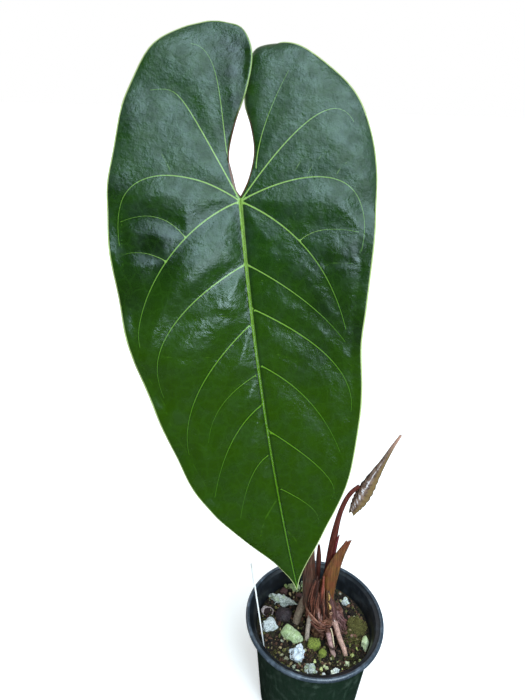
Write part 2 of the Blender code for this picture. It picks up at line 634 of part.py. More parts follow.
def main():
    clear_scene()
    parts = new_collection("potted_anthurium")
    cutters = new_collection("cutters")
    cutters.hide_render = True
    finishes = {
        "pot": make_material("pot_plastic", "2B3A33", 0.5),
        "mix": make_material("potting_mix", "33301F", 0.95),
        "leaf": make_material("leaf_green", "26470F", 0.35),
        "stem": make_material("petiole_green", "4E5A2C", 0.45),
        "young_stem": make_material("young_petiole_red", "6A3A34", 0.4),
        "young_leaf": make_material("young_leaf_bronze", "6A5B45", 0.25),
        "crown": make_material("crown_fibre", "6B4536", 0.8),
        "sheath": make_material("dry_sheath", "57402B", 0.6),
        "label": make_material("label_plastic", "F2F4F2", 0.4),
        "pumice_grey": make_material("pumice_grey", "ACB6B7", 0.9),
        "pumice_green": make_material("pumice_green", "B5C792", 0.9),
        "pumice_white": make_material("pumice_white", "DFE6E2", 0.9),
        "pumice_pink": make_material("pumice_pink", "CDBFBC", 0.9),
        "mossy_stone": make_material("mossy_stone", "667534", 0.9),
        "bark": make_material("bark", "3A302B", 0.85),
        "moss": make_material("moss", "4A4A22", 0.95),
    }
    make_pot(parts, cutters, finishes["pot"])
    mix = make_mix(parts, finishes["mix"])
    make_blade(parts, finishes["leaf"])
    crown = make_crown("stem_crown", parts, cutters, finishes["crown"])
    petiole = tube("leaf_petiole", PETIOLE_PATH, PETIOLE_RADII, parts, finishes["stem"])
    young_petiole = tube(
        "young_petiole", YOUNG_PETIOLE_PATH, YOUNG_PETIOLE_RADII, parts, finishes["young_stem"]
    )
    young_leaf = tube("young_leaf", YOUNG_LEAF_PATH, YOUNG_LEAF_RADII, parts, finishes["young_leaf"], 2, 3)
    bud_scale = tube("bud_scale", BUD_SCALE_PATH, BUD_SCALE_RADII, parts, finishes["sheath"])
    sheaths = [
        make_sheath(name, parts=parts, material=finishes["sheath"], **shape) for name, shape in SHEATHS.items()
    ]
    label = make_label(parts, finishes["label"])
    pieces = [
        make_piece(name, place, half_sizes, rise, turn, parts, finishes[finish])
        for name, (place, half_sizes, rise, turn, finish) in PIECES.items()
    ]
    bpy.context.view_layer.update()
    cut_pockets(young_leaf, [young_petiole], cutters)
    cut_pockets(crown, [petiole, young_petiole, bud_scale, *sheaths], cutters)
    shapes = new_collection("shapes")
    make_crown("crown_pocket", cutters, shapes, wider=SUNK / MM)
    boolean(mix, "DIFFERENCE", cutters)
    empty_collection(cutters)
    cut_pockets(mix, [label, *pieces], cutters)


main()
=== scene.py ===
# %% [markdown]
# # A young anthurium in its nursery pot
# The plant has one long heart-shaped leaf on a thin stem, a second leaf that is still rolled up, and a
# short crown with thick aerial roots, in a mix of bark and pumice. Packed solids already give each piece
# its place and main form. This lesson makes a fine piece over each solid, with its real surface.
# Each piece stays where its solid is, so the plant keeps its true size.

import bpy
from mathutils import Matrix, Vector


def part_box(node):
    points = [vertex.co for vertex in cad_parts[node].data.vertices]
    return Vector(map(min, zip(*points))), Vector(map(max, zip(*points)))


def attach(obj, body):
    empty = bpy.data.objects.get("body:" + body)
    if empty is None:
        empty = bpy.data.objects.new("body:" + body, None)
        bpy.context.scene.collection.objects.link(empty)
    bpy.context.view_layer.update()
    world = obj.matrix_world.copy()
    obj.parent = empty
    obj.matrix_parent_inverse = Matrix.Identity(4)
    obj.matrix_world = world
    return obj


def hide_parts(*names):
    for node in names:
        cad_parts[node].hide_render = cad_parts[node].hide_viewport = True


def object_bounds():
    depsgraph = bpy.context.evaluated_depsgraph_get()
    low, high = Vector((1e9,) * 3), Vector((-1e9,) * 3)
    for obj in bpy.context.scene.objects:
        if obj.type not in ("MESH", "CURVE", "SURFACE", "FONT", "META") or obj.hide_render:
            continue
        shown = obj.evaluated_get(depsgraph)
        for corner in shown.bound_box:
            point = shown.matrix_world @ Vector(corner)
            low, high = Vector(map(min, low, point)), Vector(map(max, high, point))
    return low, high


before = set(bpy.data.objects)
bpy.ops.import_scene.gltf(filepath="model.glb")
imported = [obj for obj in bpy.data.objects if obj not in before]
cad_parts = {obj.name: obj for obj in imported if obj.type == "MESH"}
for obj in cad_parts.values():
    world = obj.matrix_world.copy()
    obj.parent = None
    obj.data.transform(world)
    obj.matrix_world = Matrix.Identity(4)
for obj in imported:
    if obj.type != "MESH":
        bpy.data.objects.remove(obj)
cad_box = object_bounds()
corners_mm = [[round(v * 1000, 1) for v in corner] for corner in cad_box]
print(len(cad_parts), "solids, corners in mm:", corners_mm)

# %% Modules and units
import math

import bmesh
import bpy
import numpy as np
from mathutils import Matrix, Vector, noise
from mathutils.geometry import delaunay_2d_cdt

MM = 0.001
GENERATOR = np.random.default_rng(8)  # every random draw below comes from this one seed

# %% [markdown]
# ## Colours, nodes and finishes
# Colours are read off as sRGB hex values, but shaders add up light, so one function turns them
# linear. One small function adds a shader node with its settings and what feeds it, and every finish
# below is made with it. Pattern sizes are given in millimetres: a texture that works in metres needs
# 1000 / size cells to the metre.

# %% Helpers for finishes
def linear(hex_colour):
    """An sRGB hex colour as linear red, green, blue and an alpha of one."""
    values = (int(hex_colour[i : i + 2], 16) / 255 for i in (0, 2, 4))
    return (*(v / 12.92 if v <= 0.04045 else ((v + 0.055) / 1.055) ** 2.4 for v in values), 1.0)


def cells(size_mm):
    """Texture scale for pattern cells of this size."""
    return 1000 / size_mm


def feed(material, socket, value):
    """Feeds a socket with a value, a hex colour or a node's output.

    An output may be eased: (output, low, high, start, end) goes smoothly from start, where it is low, to
    end, where it is high. Without them, start and end are 0 and 1.
    """
    if isinstance(value, tuple) and isinstance(value[0], (tuple, bpy.types.NodeSocket)):
        ranges = dict(zip(("Value", "From Min", "From Max", "To Min", "To Max"), value))
        value = add(material, "MapRange", ranges, interpolation_type="SMOOTHSTEP")
    if isinstance(value, bpy.types.NodeSocket):
        material.node_tree.links.new(value, socket)
    else:
        socket.default_value = linear(value) if isinstance(value, str) else value


def add(material, kind, inputs, output=0, **settings):
    """Adds a node with its own settings and what feeds its inputs, and gives one of its outputs."""
    node = material.node_tree.nodes.new("ShaderNode" + kind)
    for name, value in settings.items():
        setattr(node, name, value)
    for name, value in inputs.items():
        feed(material, node.inputs[name], value)
    return node.outputs[output]


def feed_surface(material, sockets):
    """Feeds the Principled surface of a material."""
    surface = material.node_tree.nodes["Principled BSDF"]
    for name, value in sockets.items():
        feed(material, surface.inputs[name.replace("_", " ")], value)


def new_finish(name, roughness, values=(), grains=(), flat=False, **sockets):
    """A Principled material, followed by what may feed it: its place, values of its mesh, and grains.

    Flat takes the place from the blade's drawing. A grain is noise of a size in millimetres and a detail,
    and a third number squeezes its heights, which draws it out upwards.
    """
    material = bpy.data.materials.new(name)
    material.use_nodes = True
    feed_surface(material, {"Roughness": roughness, **sockets})
    if flat:
        place = add(material, "Attribute", {}, "Vector", attribute_name="flat")
    else:
        place = add(material, "TexCoord", {}, "Object")
    found = [add(material, "Attribute", {}, "Fac", attribute_name=value) for value in values]
    for size, detail, *squeeze in grains:
        spot = add(material, "Mapping", {"Vector": place, "Scale": (1, 1, *squeeze)}) if squeeze else place
        inputs = {"Vector": spot, "Scale": cells(size), "Detail": detail}
        found.append(add(material, "TexNoise", inputs, "Fac"))
    return material, place, *found


def painted(material, colour, *layers):
    """Colours laid over one another, each with the share of it that covers those below."""
    for share, over in layers:
        colour = add(material, "Mix", {0: share, 6: colour, 7: over}, 2, data_type="RGBA")
    return colour


def finished(material, body, height=None, strength=0.0, depth_mm=0.0, normals=("Normal",), **sockets):
    """Feeds the surface its colour, a bump of this strength and depth, and other sockets."""
    sockets["Base_Color"] = body
    if height is not None:
        bump = add(material, "Bump", {"Height": height, "Strength": strength, "Distance": depth_mm * MM})
        sockets.update(dict.fromkeys(normals, bump))
    feed_surface(material, sockets)
    return material


# %% [markdown]
# ## Meshes
# All lengths below are in millimetres until a mesh is made. A grown surface is easiest as rows of points
# that a formula places, because each point can then carry values, such as its distance from the nearest
# vein, for the finish to use. Small loose bits of one kind go into one piece, each in its own tint.

# %% Helpers for meshes
def placed(name, data):
    """A new object of the scene for this mesh, lamp or camera."""
    obj = bpy.data.objects.new(name, data)
    bpy.context.scene.collection.objects.link(obj)
    return obj


def new_piece(name, points, faces, finishes, stands_for=()):
    """A smooth piece from points in millimetres. It rides with the pot and stands for its solids."""
    mesh = bpy.data.meshes.new(name)
    mesh.from_pydata((np.asarray(points) * MM).tolist(), [], [list(map(int, face)) for face in faces])
    mesh.validate()
    mesh.shade_smooth()
    for finish in finishes:
        mesh.materials.append(finish)
    obj = placed(name, mesh)
    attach(obj, "root")
    if stands_for:
        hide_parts(*stands_for)
    return obj


def write_values(mesh, name, values):
    """Stores a value, or a vector of three, at every point of the mesh for its finish to read."""
    values = np.asarray(values, np.float32)
    kind, field = ("FLOAT", "value") if values.ndim == 1 else ("FLOAT_VECTOR", "vector")
    mesh.attributes.new(name, kind, "POINT").data.foreach_set(field, values.ravel())


def tinted_piece(name, shapes, finish):
    """One piece from many small shapes, each given by its points, its faces and its hex colour."""
    points, faces, colours = [], [], []
    start = 0
    for shape_points, shape_faces, tone in shapes:
        points.append(shape_points)
        faces += [[index + start for index in face] for face in shape_faces]
        colours.append(np.tile(linear(tone)[:3], (len(shape_points), 1)))
        start += len(shape_points)
    piece = new_piece(name, np.vstack(points), faces, [finish])
    write_values(piece.data, "tint", np.vstack(colours))
    print(name, len(shapes), "shapes in", len(piece.data.polygons), "faces")
    return piece


def read_points(mesh):
    """The mesh's points in millimetres."""
    points = np.empty(len(mesh.vertices) * 3, np.float32)
    mesh.vertices.foreach_get("co", points)
    return points.reshape(-1, 3).astype(float) / MM


def modified(obj, kind, **settings):
    """Gives the object the mesh that this modifier makes of it."""
    modifier = obj.modifiers.new(kind.title(), kind)
    for name, value in settings.items():
        setattr(modifier, name, value)
    graph = bpy.context.evaluated_depsgraph_get()
    mesh = bpy.data.meshes.new_from_object(obj.evaluated_get(graph))
    obj.modifiers.clear()
    obj.data = mesh


def grid_faces(rows, columns, closed=False):
    """Four-sided faces between neighbouring rows of points, joined round if closed."""
    faces = []
    for start in range(0, (rows - 1) * columns, columns):
        for column in range(columns if closed else columns - 1):
            left, right = start + column, start + (column + 1) % columns
            faces.append((left, right, right + columns, left + columns))
    return faces


def capped_rings(rings, sides):
    """Faces of a closed body of rings, with a flat cap at each end."""
    last = (rings - 1) * sides
    caps = [tuple(range(sides))[::-1], tuple(range(last, last + sides))]
    return grid_faces(rings, sides, closed=True) + caps


def unit(vectors):
    """Each vector scaled to a length of one."""
    return vectors / np.linalg.norm(vectors, axis=-1, keepdims=True)


def smoothstep(low, high, value):
    """Shares that go smoothly from 0 at low to 1 at high."""
    t = np.clip((np.asarray(value, float) - low) / (high - low), 0, 1)
    return t * t * (3 - 2 * t)


def rough(points, size, seed=0.0):
    """Smooth random values from about -1 to 1, that change over this size in millimetres."""
    shift = Vector((seed, 0.7 * seed, 3.1))
    return np.array([noise.noise(Vector(point) / size + shift) for point in points])


# %% [markdown]
# ## Curves
# Outlines and veins are smooth curves through a few chosen points. A Catmull-Rom curve passes through
# its points, which suits an outline. A Bezier curve is pulled by its handles, which suits a vein that
# leaves the midrib and bends once.

# %% Curve helpers
def smooth_path(points, per_span):
    """Points along a smooth curve through these, so many to a span."""
    points = np.asarray(points, float)
    ends = np.vstack([points[:1], points, points[-1:]])
    t = np.linspace(0, 1, per_span, endpoint=False)[:, None]
    spans = [
        0.5 * (2 * b + (c - a) * t + (2 * a - 5 * b + 4 * c - d) * t**2 + (3 * b - a - 3 * c + d) * t**3)
        for a, b, c, d in zip(ends, ends[1:], ends[2:], ends[3:])
    ]
    return np.vstack([*spans, points[-1:]])


def bezier(handles, count):
    """So many points along the curve with these handles."""
    t = np.linspace(0, 1, count)[:, None]
    points = [np.asarray(handle, float) + 0 * t for handle in handles]
    while len(points) > 1:
        points = [a + (b - a) * t for a, b in zip(points, points[1:])]
    return points[0]


def evenly(line, step):
    """The line drawn again with its points an even distance apart, close to step."""
    along = np.append(0, np.cumsum(np.linalg.norm(np.diff(line, axis=0), axis=1)))
    wanted = np.linspace(0, along[-1], max(1, round(along[-1] / step)) + 1)
    return np.stack([np.interp(wanted, along, column) for column in line.T], axis=1)


def nearest(points, line):
    """How far each point is from a line of points, and how far along the line, from 0 to 1."""
    best = np.full(len(points), 1e6)
    along = np.zeros(len(points))
    for number, (start, end) in enumerate(zip(line, line[1:])):
        step = end - start
        share = np.clip((points - start) @ step / max(step @ step, 1e-9), 0, 1)
        distance = np.linalg.norm(points - start - share[:, None] * step, axis=1)
        closer = distance < best
        best[closer] = distance[closer]
        along[closer] = ((number + share) / (len(line) - 1))[closer]
    return best, along


def inside(points, loop):
    """Whether each point of a drawing lies inside a closed loop."""
    within = np.zeros(len(points), bool)
    x, y = points.T
    for a, b in zip(loop, np.roll(loop, -1, axis=0)):
        if a[1] != b[1]:
            crosses = (a[1] > y) != (b[1] > y)
            within ^= crosses & (x < a[0] + (b[0] - a[0]) * (y - a[1]) / (b[1] - a[1]))
    return within


# %% [markdown]
# ## The long leaf: its drawing
# The blade is drawn flat first, x to the right and d down the blade, from the point where the stem
# meets it. A heart-shaped leaf has two lobes above that point, with a narrow gap, the sinus, between
# them. Drawing it flat keeps outline and veins true, and bending the drawing later adds the third
# dimension without changing them.

# %% Outline of the blade
LEFT_SINUS = ((0, -3), (-4, -9), (-7, -25), (-4, -42), (1.5, -60), (4, -80), (-1, -95.5), (-10, -99.5))
LEFT_MARGIN = (
    (-20, -101), (-35.5, -96.8), (-53.2, -82.3), (-65, -55), (-70.5, -20), (-72, 10), (-68, 38), (-57, 83),
    (-40.5, 125), (-25.2, 158.6), (-8.5, 179.2), (9.4, 196), (24.2, 208.5), (35, 218.5), (40, 227),
)
RIGHT_SINUS = ((0, -3), (4, -12), (6.5, -27), (4.2, -42), (0.3, -56), (0.5, -75), (5.5, -87))
RIGHT_MARGIN = (
    (17.5, -91), (32.5, -86.2), (55, -68.5), (68.2, -46), (73.3, -18), (73.2, 14), (70.8, 54), (69.2, 76),
    (70.6, 100), (70, 122), (64.5, 158), (53.8, 185), (45.6, 205), (41.2, 218), (40, 227),
)


def midrib_x(d):
    """Where the midrib lies: it leans and bows to the right towards the tip."""
    d = np.asarray(d, float)
    return np.where(d > 0, 0.112 * d + 0.00029 * d * d, 0.0)


blade_width = max(x for x, _ in RIGHT_MARGIN) - min(x for x, _ in LEFT_MARGIN)
print("blade", LEFT_MARGIN[-1][1] - LEFT_MARGIN[0][1], "mm long and", blade_width, "mm wide")

# %% [markdown]
# ## The long leaf: its veins
# Strong pale veins fan out of the junction and then leave the midrib in pairs. Each is given by its
# handles, its half width where it starts and how far it stands out at the back. Fine veins branch off
# them, and their ends run together in a thin vein along the margin. They are lines in the drawing, so
# that the mesh can have an edge along each strong one and stay sharp there.

# %% Veins of the blade
LEFT_VEINS = (
    (((0, 0), (-37, -61), (-34, -62), (-51, -59)), 0.75, 0.45),
    (((0, 0), (-14, -21), (-8, -86), (-30, -86)), 0.65, 0.35),
    (((0, 0), (-30, -18), (-75, -18), (-64, 27)), 0.8, 0.6),
    (((0, 0), (-28, 11), (-58, 57), (-51, 81)), 0.85, 0.6),
    (((4, 34), (-54, 73), (-39, 109)), 0.7, 0.5),
    (((8.5, 66), (-32, 107), (-25, 142)), 0.7, 0.5),
    (((13, 94), (-13, 110), (-14, 134)), 0.4, 0.3),
    (((16, 111), (-5, 128), (-10, 167)), 0.6, 0.4),
    (((21.5, 140), (9, 146), (5, 179)), 0.5, 0.3),
    (((-28.4, 22), (-42, 5), (-64, 14)), 0.3, 0.15),
    (((-38, 35), (-51, 28), (-62, 32)), 0.26, 0.1),
)
RIGHT_VEINS = (
    (((0, 0), (46, -69), (60, -44)), 0.75, 0.45),
    (((8, -18), (8, -38), (24, -72)), 0.6, 0.3),
    (((0, 0), (28, -16), (75, -26), (66, 26)), 0.8, 0.6),
    (((0, 0), (46, 20), (60, 68)), 0.85, 0.6),
    (((4, 34), (43, 53), (60, 75)), 0.65, 0.5),
    (((7.5, 58), (68, 83), (65, 114)), 0.7, 0.5),
    (((12.5, 89), (46, 104), (60, 137)), 0.6, 0.4),
    (((18.5, 126), (67, 154), (56, 166)), 0.55, 0.4),
    (((25.5, 160), (52, 171), (50, 181)), 0.45, 0.3),
    (((33, 21), (42, 12), (64, 16)), 0.28, 0.15),
)
LEFT_FINE_VEINS = (
    (((-37, -11), (-39, -18), (-44, -24)), 0.3),
    (((26, 167), (17, 180), (17, 190)), 0.4),
    (((-31, 68), (-14, 62), (1, 63)), 0.2),
    (((-41, 85), (-26, 87), (-10, 85)), 0.2),
    (((-5, 106), (3, 99), (11, 95)), 0.22),
    (((-63, 6), (-65, 26), (-60, 50), (-52, 82)), 0.25),
    (((-52, 82), (-49, 98), (-39, 112)), 0.22),
    (((-39, 112), (-34, 130), (-24, 144)), 0.22),
    (((-24, 144), (-18, 158), (-9, 168)), 0.22),
)
RIGHT_FINE_VEINS = (
    (((45, 35), (52, 31), (63, 33)), 0.32),
    (((27, -11), (30, -18), (34, -26)), 0.3),
    (((35, -12), (38, -20), (46, -27)), 0.3),
    (((51, -14), (54, -19), (58, -22)), 0.26),
    (((22, 83), (29, 84), (36, 88)), 0.2),
    (((7, 43), (11, 44), (15, 42)), 0.2),
    (((20, 25), (23, 29), (22, 34)), 0.2),
    (((27, 10), (31, 5), (36, 3)), 0.2),
    (((31, 186), (38, 192), (42, 200)), 0.35),
    (((65, 22), (67, 45), (62, 68), (64, 90)), 0.25),
    (((64, 90), (67, 102), (64, 116)), 0.22),
    (((64, 116), (65, 128), (59, 140)), 0.22),
    (((59, 140), (60, 155), (55, 168)), 0.22),
)
MIDRIB_HALF_WIDTHS = (1.1, 0.3)  # at the junction and at the tip
fine_count = len(LEFT_FINE_VEINS) + len(RIGHT_FINE_VEINS)
print(len(LEFT_VEINS) + len(RIGHT_VEINS) + 1, "strong veins,", fine_count, "fine")


# %% [markdown]
# ## The long leaf: its relief
# A living blade isn't flat. Both halves rise from the midrib, the margin curls back, the edges of the
# sinus roll away, a slow wave runs round the rim, and the skin swells into pillows between its veins.
# Each of these is one short term of a height in millimetres. The formula is the one of the solid, with
# finer puckers added, so the fine leaf lies in the same place.

# %% Relief of the blade
FOLD = (5.5, 24.0)  # each pair: height, and the distance over which it fades
MARGIN_CURL = (3.0, 8.0)
RIGHT_CURL_SHARE = 0.1
SINUS_ROLLS = ((1.5, 1.5), (2.0, 2.0))  # left and right
WAVE = (1.6, 14.0)
WAVE_LENGTH = 41.0
QUILT = (1.4, 6.0)
PANELS = (0.9, 12.0)
LOBE_SPLIT = (5.2, 1.0, 9.0)  # the left lobe's inner edge stands forward, the right one's back
LOBE_CALM = 0.6  # how much flatter the lobes' pillows and waves are
FINE_VALLEY = (0.35, 2.5)
PUCKERS = ((0.16, 9.0), (0.15, 4.4), (0.09, 2.4))  # height and size of the skin's puckers
VEIN_WIDTH = 0.52  # a vein's pale line as a share of its ridge
SWELLS = (  # x, d, size and height
    (-14, -104, 22, -3.6), (-38, -50, 26, -2.8), (-42, -5, 15, 1.4), (-18, -8, 10, 1.0),
    (-44, 43, 16, -1.6), (-13, 4, 11, -0.9), (-32, 42, 25, 3.8), (-48, 80, 31, 6.8), (50, -2, 22, 1.6),
    (44, 74, 32, -1.8), (46, 110, 26, -1.6), (58, -28, 13, 1.2), (72, 8, 16, 1.4),
)
# Painted shade, a darker green where the blade turns from the light: x, d, size and share
PAINTED_SHADE = (
    (-44, 27, 20, 0.85), (-60, 55, 14, 0.5), (-22, 14, 8, 0.4), (-7, -84, 10, 0.75), (-6, -70, 8, 0.75),
    (-4, -54, 6, 0.7), (-7, -38, 5, 0.5), (-67, -5, 9, 0.5), (-62, -45, 10, 0.4), (58, 30, 18, 0.6),
    (52, 58, 16, 0.6), (40, 36, 12, 0.5), (66, 70, 12, 0.6), (45, 85, 14, 0.4),
)


class Half:
    """One half of the blade, with its lines in the drawing."""

    def __init__(self, side, sinus, margin, veins, fine_veins):
        self.side = side
        self.sinus = smooth_path([*sinus, margin[0]], 6)
        self.margin = smooth_path(margin, 6)
        self.veins = [(bezier(handles, 25), width, rib) for handles, width, rib in veins]
        self.fine_veins = [(bezier(handles, 13), width) for handles, width in fine_veins]

    def measure(self, flat):
        """Distances of the drawing's points from the half's lines, by name."""
        across = np.abs(flat[:, 0] - midrib_x(flat[:, 1]))
        share = np.clip(flat[:, 1] / self.margin[-1, 1], 0, 1)
        width = MIDRIB_HALF_WIDTHS[0] + (MIDRIB_HALF_WIDTHS[1] - MIDRIB_HALF_WIDTHS[0]) * share**0.7
        on_midrib = flat[:, 1] > -2
        vein = np.where(on_midrib, across / width, 9.0)
        pale = 1 - 0.5 * share
        near = np.where(on_midrib, across, 99.0)
        rib = np.where(on_midrib, np.exp(-((across / 2.0) ** 2)) * (1 - 0.55 * share), 0)
        for line, start_width, strength in self.veins:
            distance, along = nearest(flat, line)
            near = np.minimum(near, distance)
            relative = distance / (VEIN_WIDTH * start_width * (1 - 0.6 * along))
            pale = np.where(relative < vein, 1 - 0.85 * along, pale)
            vein = np.minimum(vein, relative)
            rib = np.maximum(rib, strength * (1 - 0.5 * along) * np.exp(-((distance / 1.4) ** 2)))
        fine = np.full(len(flat), 9.0)
        near_fine = np.full(len(flat), 99.0)
        for line, start_width in self.fine_veins:
            distance, along = nearest(flat, line)
            near_fine = np.minimum(near_fine, distance)
            fine = np.minimum(fine, distance / (start_width * (1 - 0.3 * along)))
        return {
            "across": across, "near": near, "near_fine": near_fine, "rib": rib,
            "vein": np.minimum(vein, 9.0), "pale": pale * np.ones(len(flat)), "fine_vein": fine,
            "margin": nearest(flat, self.margin)[0], "sinus": nearest(flat, self.sinus)[0],
        }

    def relief(self, flat, found):
        """Height of the blade's face over its bent sheet."""
        x, d = flat.T
        outer = smoothstep(0, 12, found["across"])
        upper = smoothstep(-8, -40, d)
        height = FOLD[0] * (1 - np.exp(-found["across"] / FOLD[1])) * (1 - 0.5 * smoothstep(30, 70, d))
        curl = MARGIN_CURL[0] * np.exp(-found["margin"] / MARGIN_CURL[1]) * outer
        if self.side > 0:
            curl *= 1 - (1 - RIGHT_CURL_SHARE) * smoothstep(0, 25, d)
        height -= curl
        roll, reach = SINUS_ROLLS[self.side > 0]
        height -= roll * np.exp(-found["sinus"] / reach) * upper
        calm = 1 - LOBE_CALM * smoothstep(5, -25, d)
        if self.side > 0:
            calm = calm * (1 - 0.65 * smoothstep(0, 20, d))
        wave = np.sin(2 * np.pi * (d + 0.35 * self.side * x) / WAVE_LENGTH + 0.8 * self.side)
        height += calm * WAVE[0] * wave * np.exp(-found["margin"] / WAVE[1]) * outer
        vein_near = np.minimum(found["near"], found["across"])
        height += calm * QUILT[0] * (1 - np.exp(-((vein_near / QUILT[1]) ** 2)))
        height += calm * PANELS[0] * (1 - np.exp(-((vein_near / PANELS[1]) ** 2)))
        split = smoothstep(-25, -60, d) * np.exp(-found["sinus"] / LOBE_SPLIT[2])
        height -= (LOBE_SPLIT[1] if self.side > 0 else -LOBE_SPLIT[0]) * split
        away = smoothstep(0, 4, np.minimum(found["near"], found["margin"]))
        height -= FINE_VALLEY[0] * np.exp(-((found["near_fine"] / FINE_VALLEY[1]) ** 2)) * away
        spots = np.column_stack([x, 1.3 * d, 0 * x])
        for across, down, size, swell in SWELLS:
            if across * self.side > 0:
                height += swell * np.exp(-(((x - across) ** 2 + (d - down) ** 2) / size**2))
        away = away * (1 - 0.5 * smoothstep(60, 110, d))
        for number, (pucker, size) in enumerate(PUCKERS):
            height += pucker * rough(spots, size, 5.0 * number) * away
        return height

    def shaded(self, flat):
        """How much painted shade, a darker green, each point has, in soft uneven patches."""
        share = np.zeros(len(flat))
        for x, d, size, amount in PAINTED_SHADE:
            away = np.linalg.norm(flat - (x, d), axis=1) / size
            share = np.maximum(share, amount * np.exp(-(away**2)))
        return share * (1 + 0.4 * rough(np.column_stack([flat, 0 * flat[:, 0]]), 12.0, 3.0))


# %% [markdown]
# ## The long leaf: bent in space
# The blade hangs face on, leans back at its top and curls back over a wide arc towards its tip. Its
# height is laid off square to that arc.

# %% Bend the drawing
JUNCTION = np.array((-62.0, 6.0, 409.0))
BLADE_LEAN = math.radians(25)
BLADE_BEND_RADIUS = 900.0


def blade_points(flat, height):
    """Places of the drawing's points in space, with their heights."""
    lean = BLADE_LEAN - flat[:, 1] / BLADE_BEND_RADIUS
    forward = BLADE_BEND_RADIUS * (np.cos(lean) - math.cos(BLADE_LEAN))
    fallen = BLADE_BEND_RADIUS * (math.sin(BLADE_LEAN) - np.sin(lean))
    out = np.column_stack([0 * lean, -np.cos(lean), np.sin(lean)])
    return JUNCTION + np.column_stack([flat[:, 0], -forward, -fallen]) + out * height[:, None]


# %% [markdown]
# ## The long leaf: its mesh
# A grid would cut across the veins and leave them jagged. A Delaunay triangulation takes the outline
# and the veins as fixed edges and fills the rest with even triangles. Splitting each triangle in four
# then halves the spacing to 1.3 mm, about what the puckers need.

# %% Triangulate a half
BLADE_STEP = 2.6
EVEN_TRIANGLE = 0.866  # its height for a side of one


def half_mesh(half):
    """Points of one half's drawing and its triangles."""
    tip = half.margin[-1]
    d = np.linspace(0, tip[1], 120)
    midrib = np.vstack([half.sinus[:1], evenly(np.column_stack([midrib_x(d), d]), BLADE_STEP)])
    midrib[-1] = tip
    rim = evenly(np.vstack([half.sinus, half.margin[1:]]), BLADE_STEP)
    loop = np.vstack([midrib[:-1], rim[:0:-1]])
    closed_loop = np.vstack([loop, loop[:1]])
    points = list(loop)
    edges = [(i, (i + 1) % len(loop)) for i in range(len(loop))]
    for line, *_ in half.veins:
        line = evenly(line, BLADE_STEP)
        line = line[nearest(line, closed_loop)[0] > 0.35 * BLADE_STEP]
        edges += [(len(points) + i, len(points) + i + 1) for i in range(len(line) - 1)]
        points += list(line)
    rows = np.arange(-125, 245, BLADE_STEP * EVEN_TRIANGLE)
    lattice = np.array([(x + BLADE_STEP / 2 * (i % 2), d) for i, d in enumerate(rows)
                        for x in np.arange(-85, 86, BLADE_STEP)])
    lattice = lattice[inside(lattice, loop)]
    gap = nearest(lattice, closed_loop)[0]
    for line, *_ in half.veins:
        gap = np.minimum(gap, nearest(lattice, line)[0])
    points += list(lattice[gap > 0.5 * BLADE_STEP])
    found, _, faces, *_ = delaunay_2d_cdt([Vector(p) for p in points], edges, [range(len(loop))], 1, 0.005)
    return np.array(found), np.array([face for face in faces if len(face) == 3])


def split_triangles(points, faces):
    """Each triangle as four, with a new point in the middle of every edge."""
    edges = np.sort(np.vstack([faces[:, [0, 1]], faces[:, [1, 2]], faces[:, [2, 0]]]), axis=1)
    edges, index = np.unique(edges, axis=0, return_inverse=True)
    ab, bc, ca = (index.reshape(3, -1) + len(points))
    a, b, c = faces.T
    points = np.vstack([points, points[edges].mean(axis=1)])
    quarters = [(a, ab, ca), (ab, b, bc), (ca, bc, c), (ab, bc, ca)]
    return points, np.vstack([np.column_stack(quarter) for quarter in quarters])


# %% Build the blade
BLADE_THICKNESS = 0.75
RIB_THICKNESS = 2.6
halves = (
    Half(-1, LEFT_SINUS, LEFT_MARGIN, LEFT_VEINS, LEFT_FINE_VEINS),
    Half(1, RIGHT_SINUS, RIGHT_MARGIN, RIGHT_VEINS, RIGHT_FINE_VEINS),
)


def build_blade():
    """The blade's face from both halves, joined along the midrib, and the values of its points."""
    places = []
    triangles = []
    values = {name: [] for name in ("vein", "pale", "fine_vein", "rib", "margin", "sinus", "shaded", "flat")}
    start = 0
    for half in halves:
        flat, faces = split_triangles(*half_mesh(half))
        found = half.measure(flat)
        found["flat"] = np.column_stack([flat * MM, np.full(len(flat), half.side * 0.2)])
        found["shaded"] = half.shaded(flat)
        places.append(blade_points(flat, half.relief(flat, found)))
        triangles.append(faces + start)
        start += len(flat)
        for name in values:
            values[name].append(found[name])
    points = np.vstack(places)
    keys = np.round(points, 2)
    _, first, index = np.unique(keys, axis=0, return_index=True, return_inverse=True)
    faces = index.reshape(-1)[np.vstack(triangles)]
    faces = faces[(faces[:, 0] != faces[:, 1]) & (faces[:, 1] != faces[:, 2]) & (faces[:, 2] != faces[:, 0])]
    points = points[first]
    sides = np.cross(points[faces[:, 1]] - points[faces[:, 0]], points[faces[:, 2]] - points[faces[:, 0]])
    faces[sides[:, 1] > 0] = faces[sides[:, 1] > 0][:, ::-1]
    return points, faces, {name: np.concatenate(found)[first] for name, found in values.items()}


def make_long_leaf(*finishes):
    """The blade's piece with the values that its finish reads, thickened backwards, most at its ribs."""
    points, faces, values = build_blade()
    rib = values.pop("rib")
    leaf = new_piece("long_leaf", points, faces, finishes, ["leaf_blade"])
    for name, found in values.items():
        write_values(leaf.data, name, found)
    ribs = leaf.vertex_groups.new(name="ribs")
    for index, weight in enumerate(rib):
        ribs.add([index], float(min(weight, 1)), "REPLACE")
    modified(leaf, "SOLIDIFY", thickness=RIB_THICKNESS * MM, offset=-1, vertex_group="ribs",
             thickness_vertex_group=BLADE_THICKNESS / RIB_THICKNESS, material_offset=1,
             material_offset_rim=2)
    print("long leaf:", len(leaf.data.polygons), "faces")
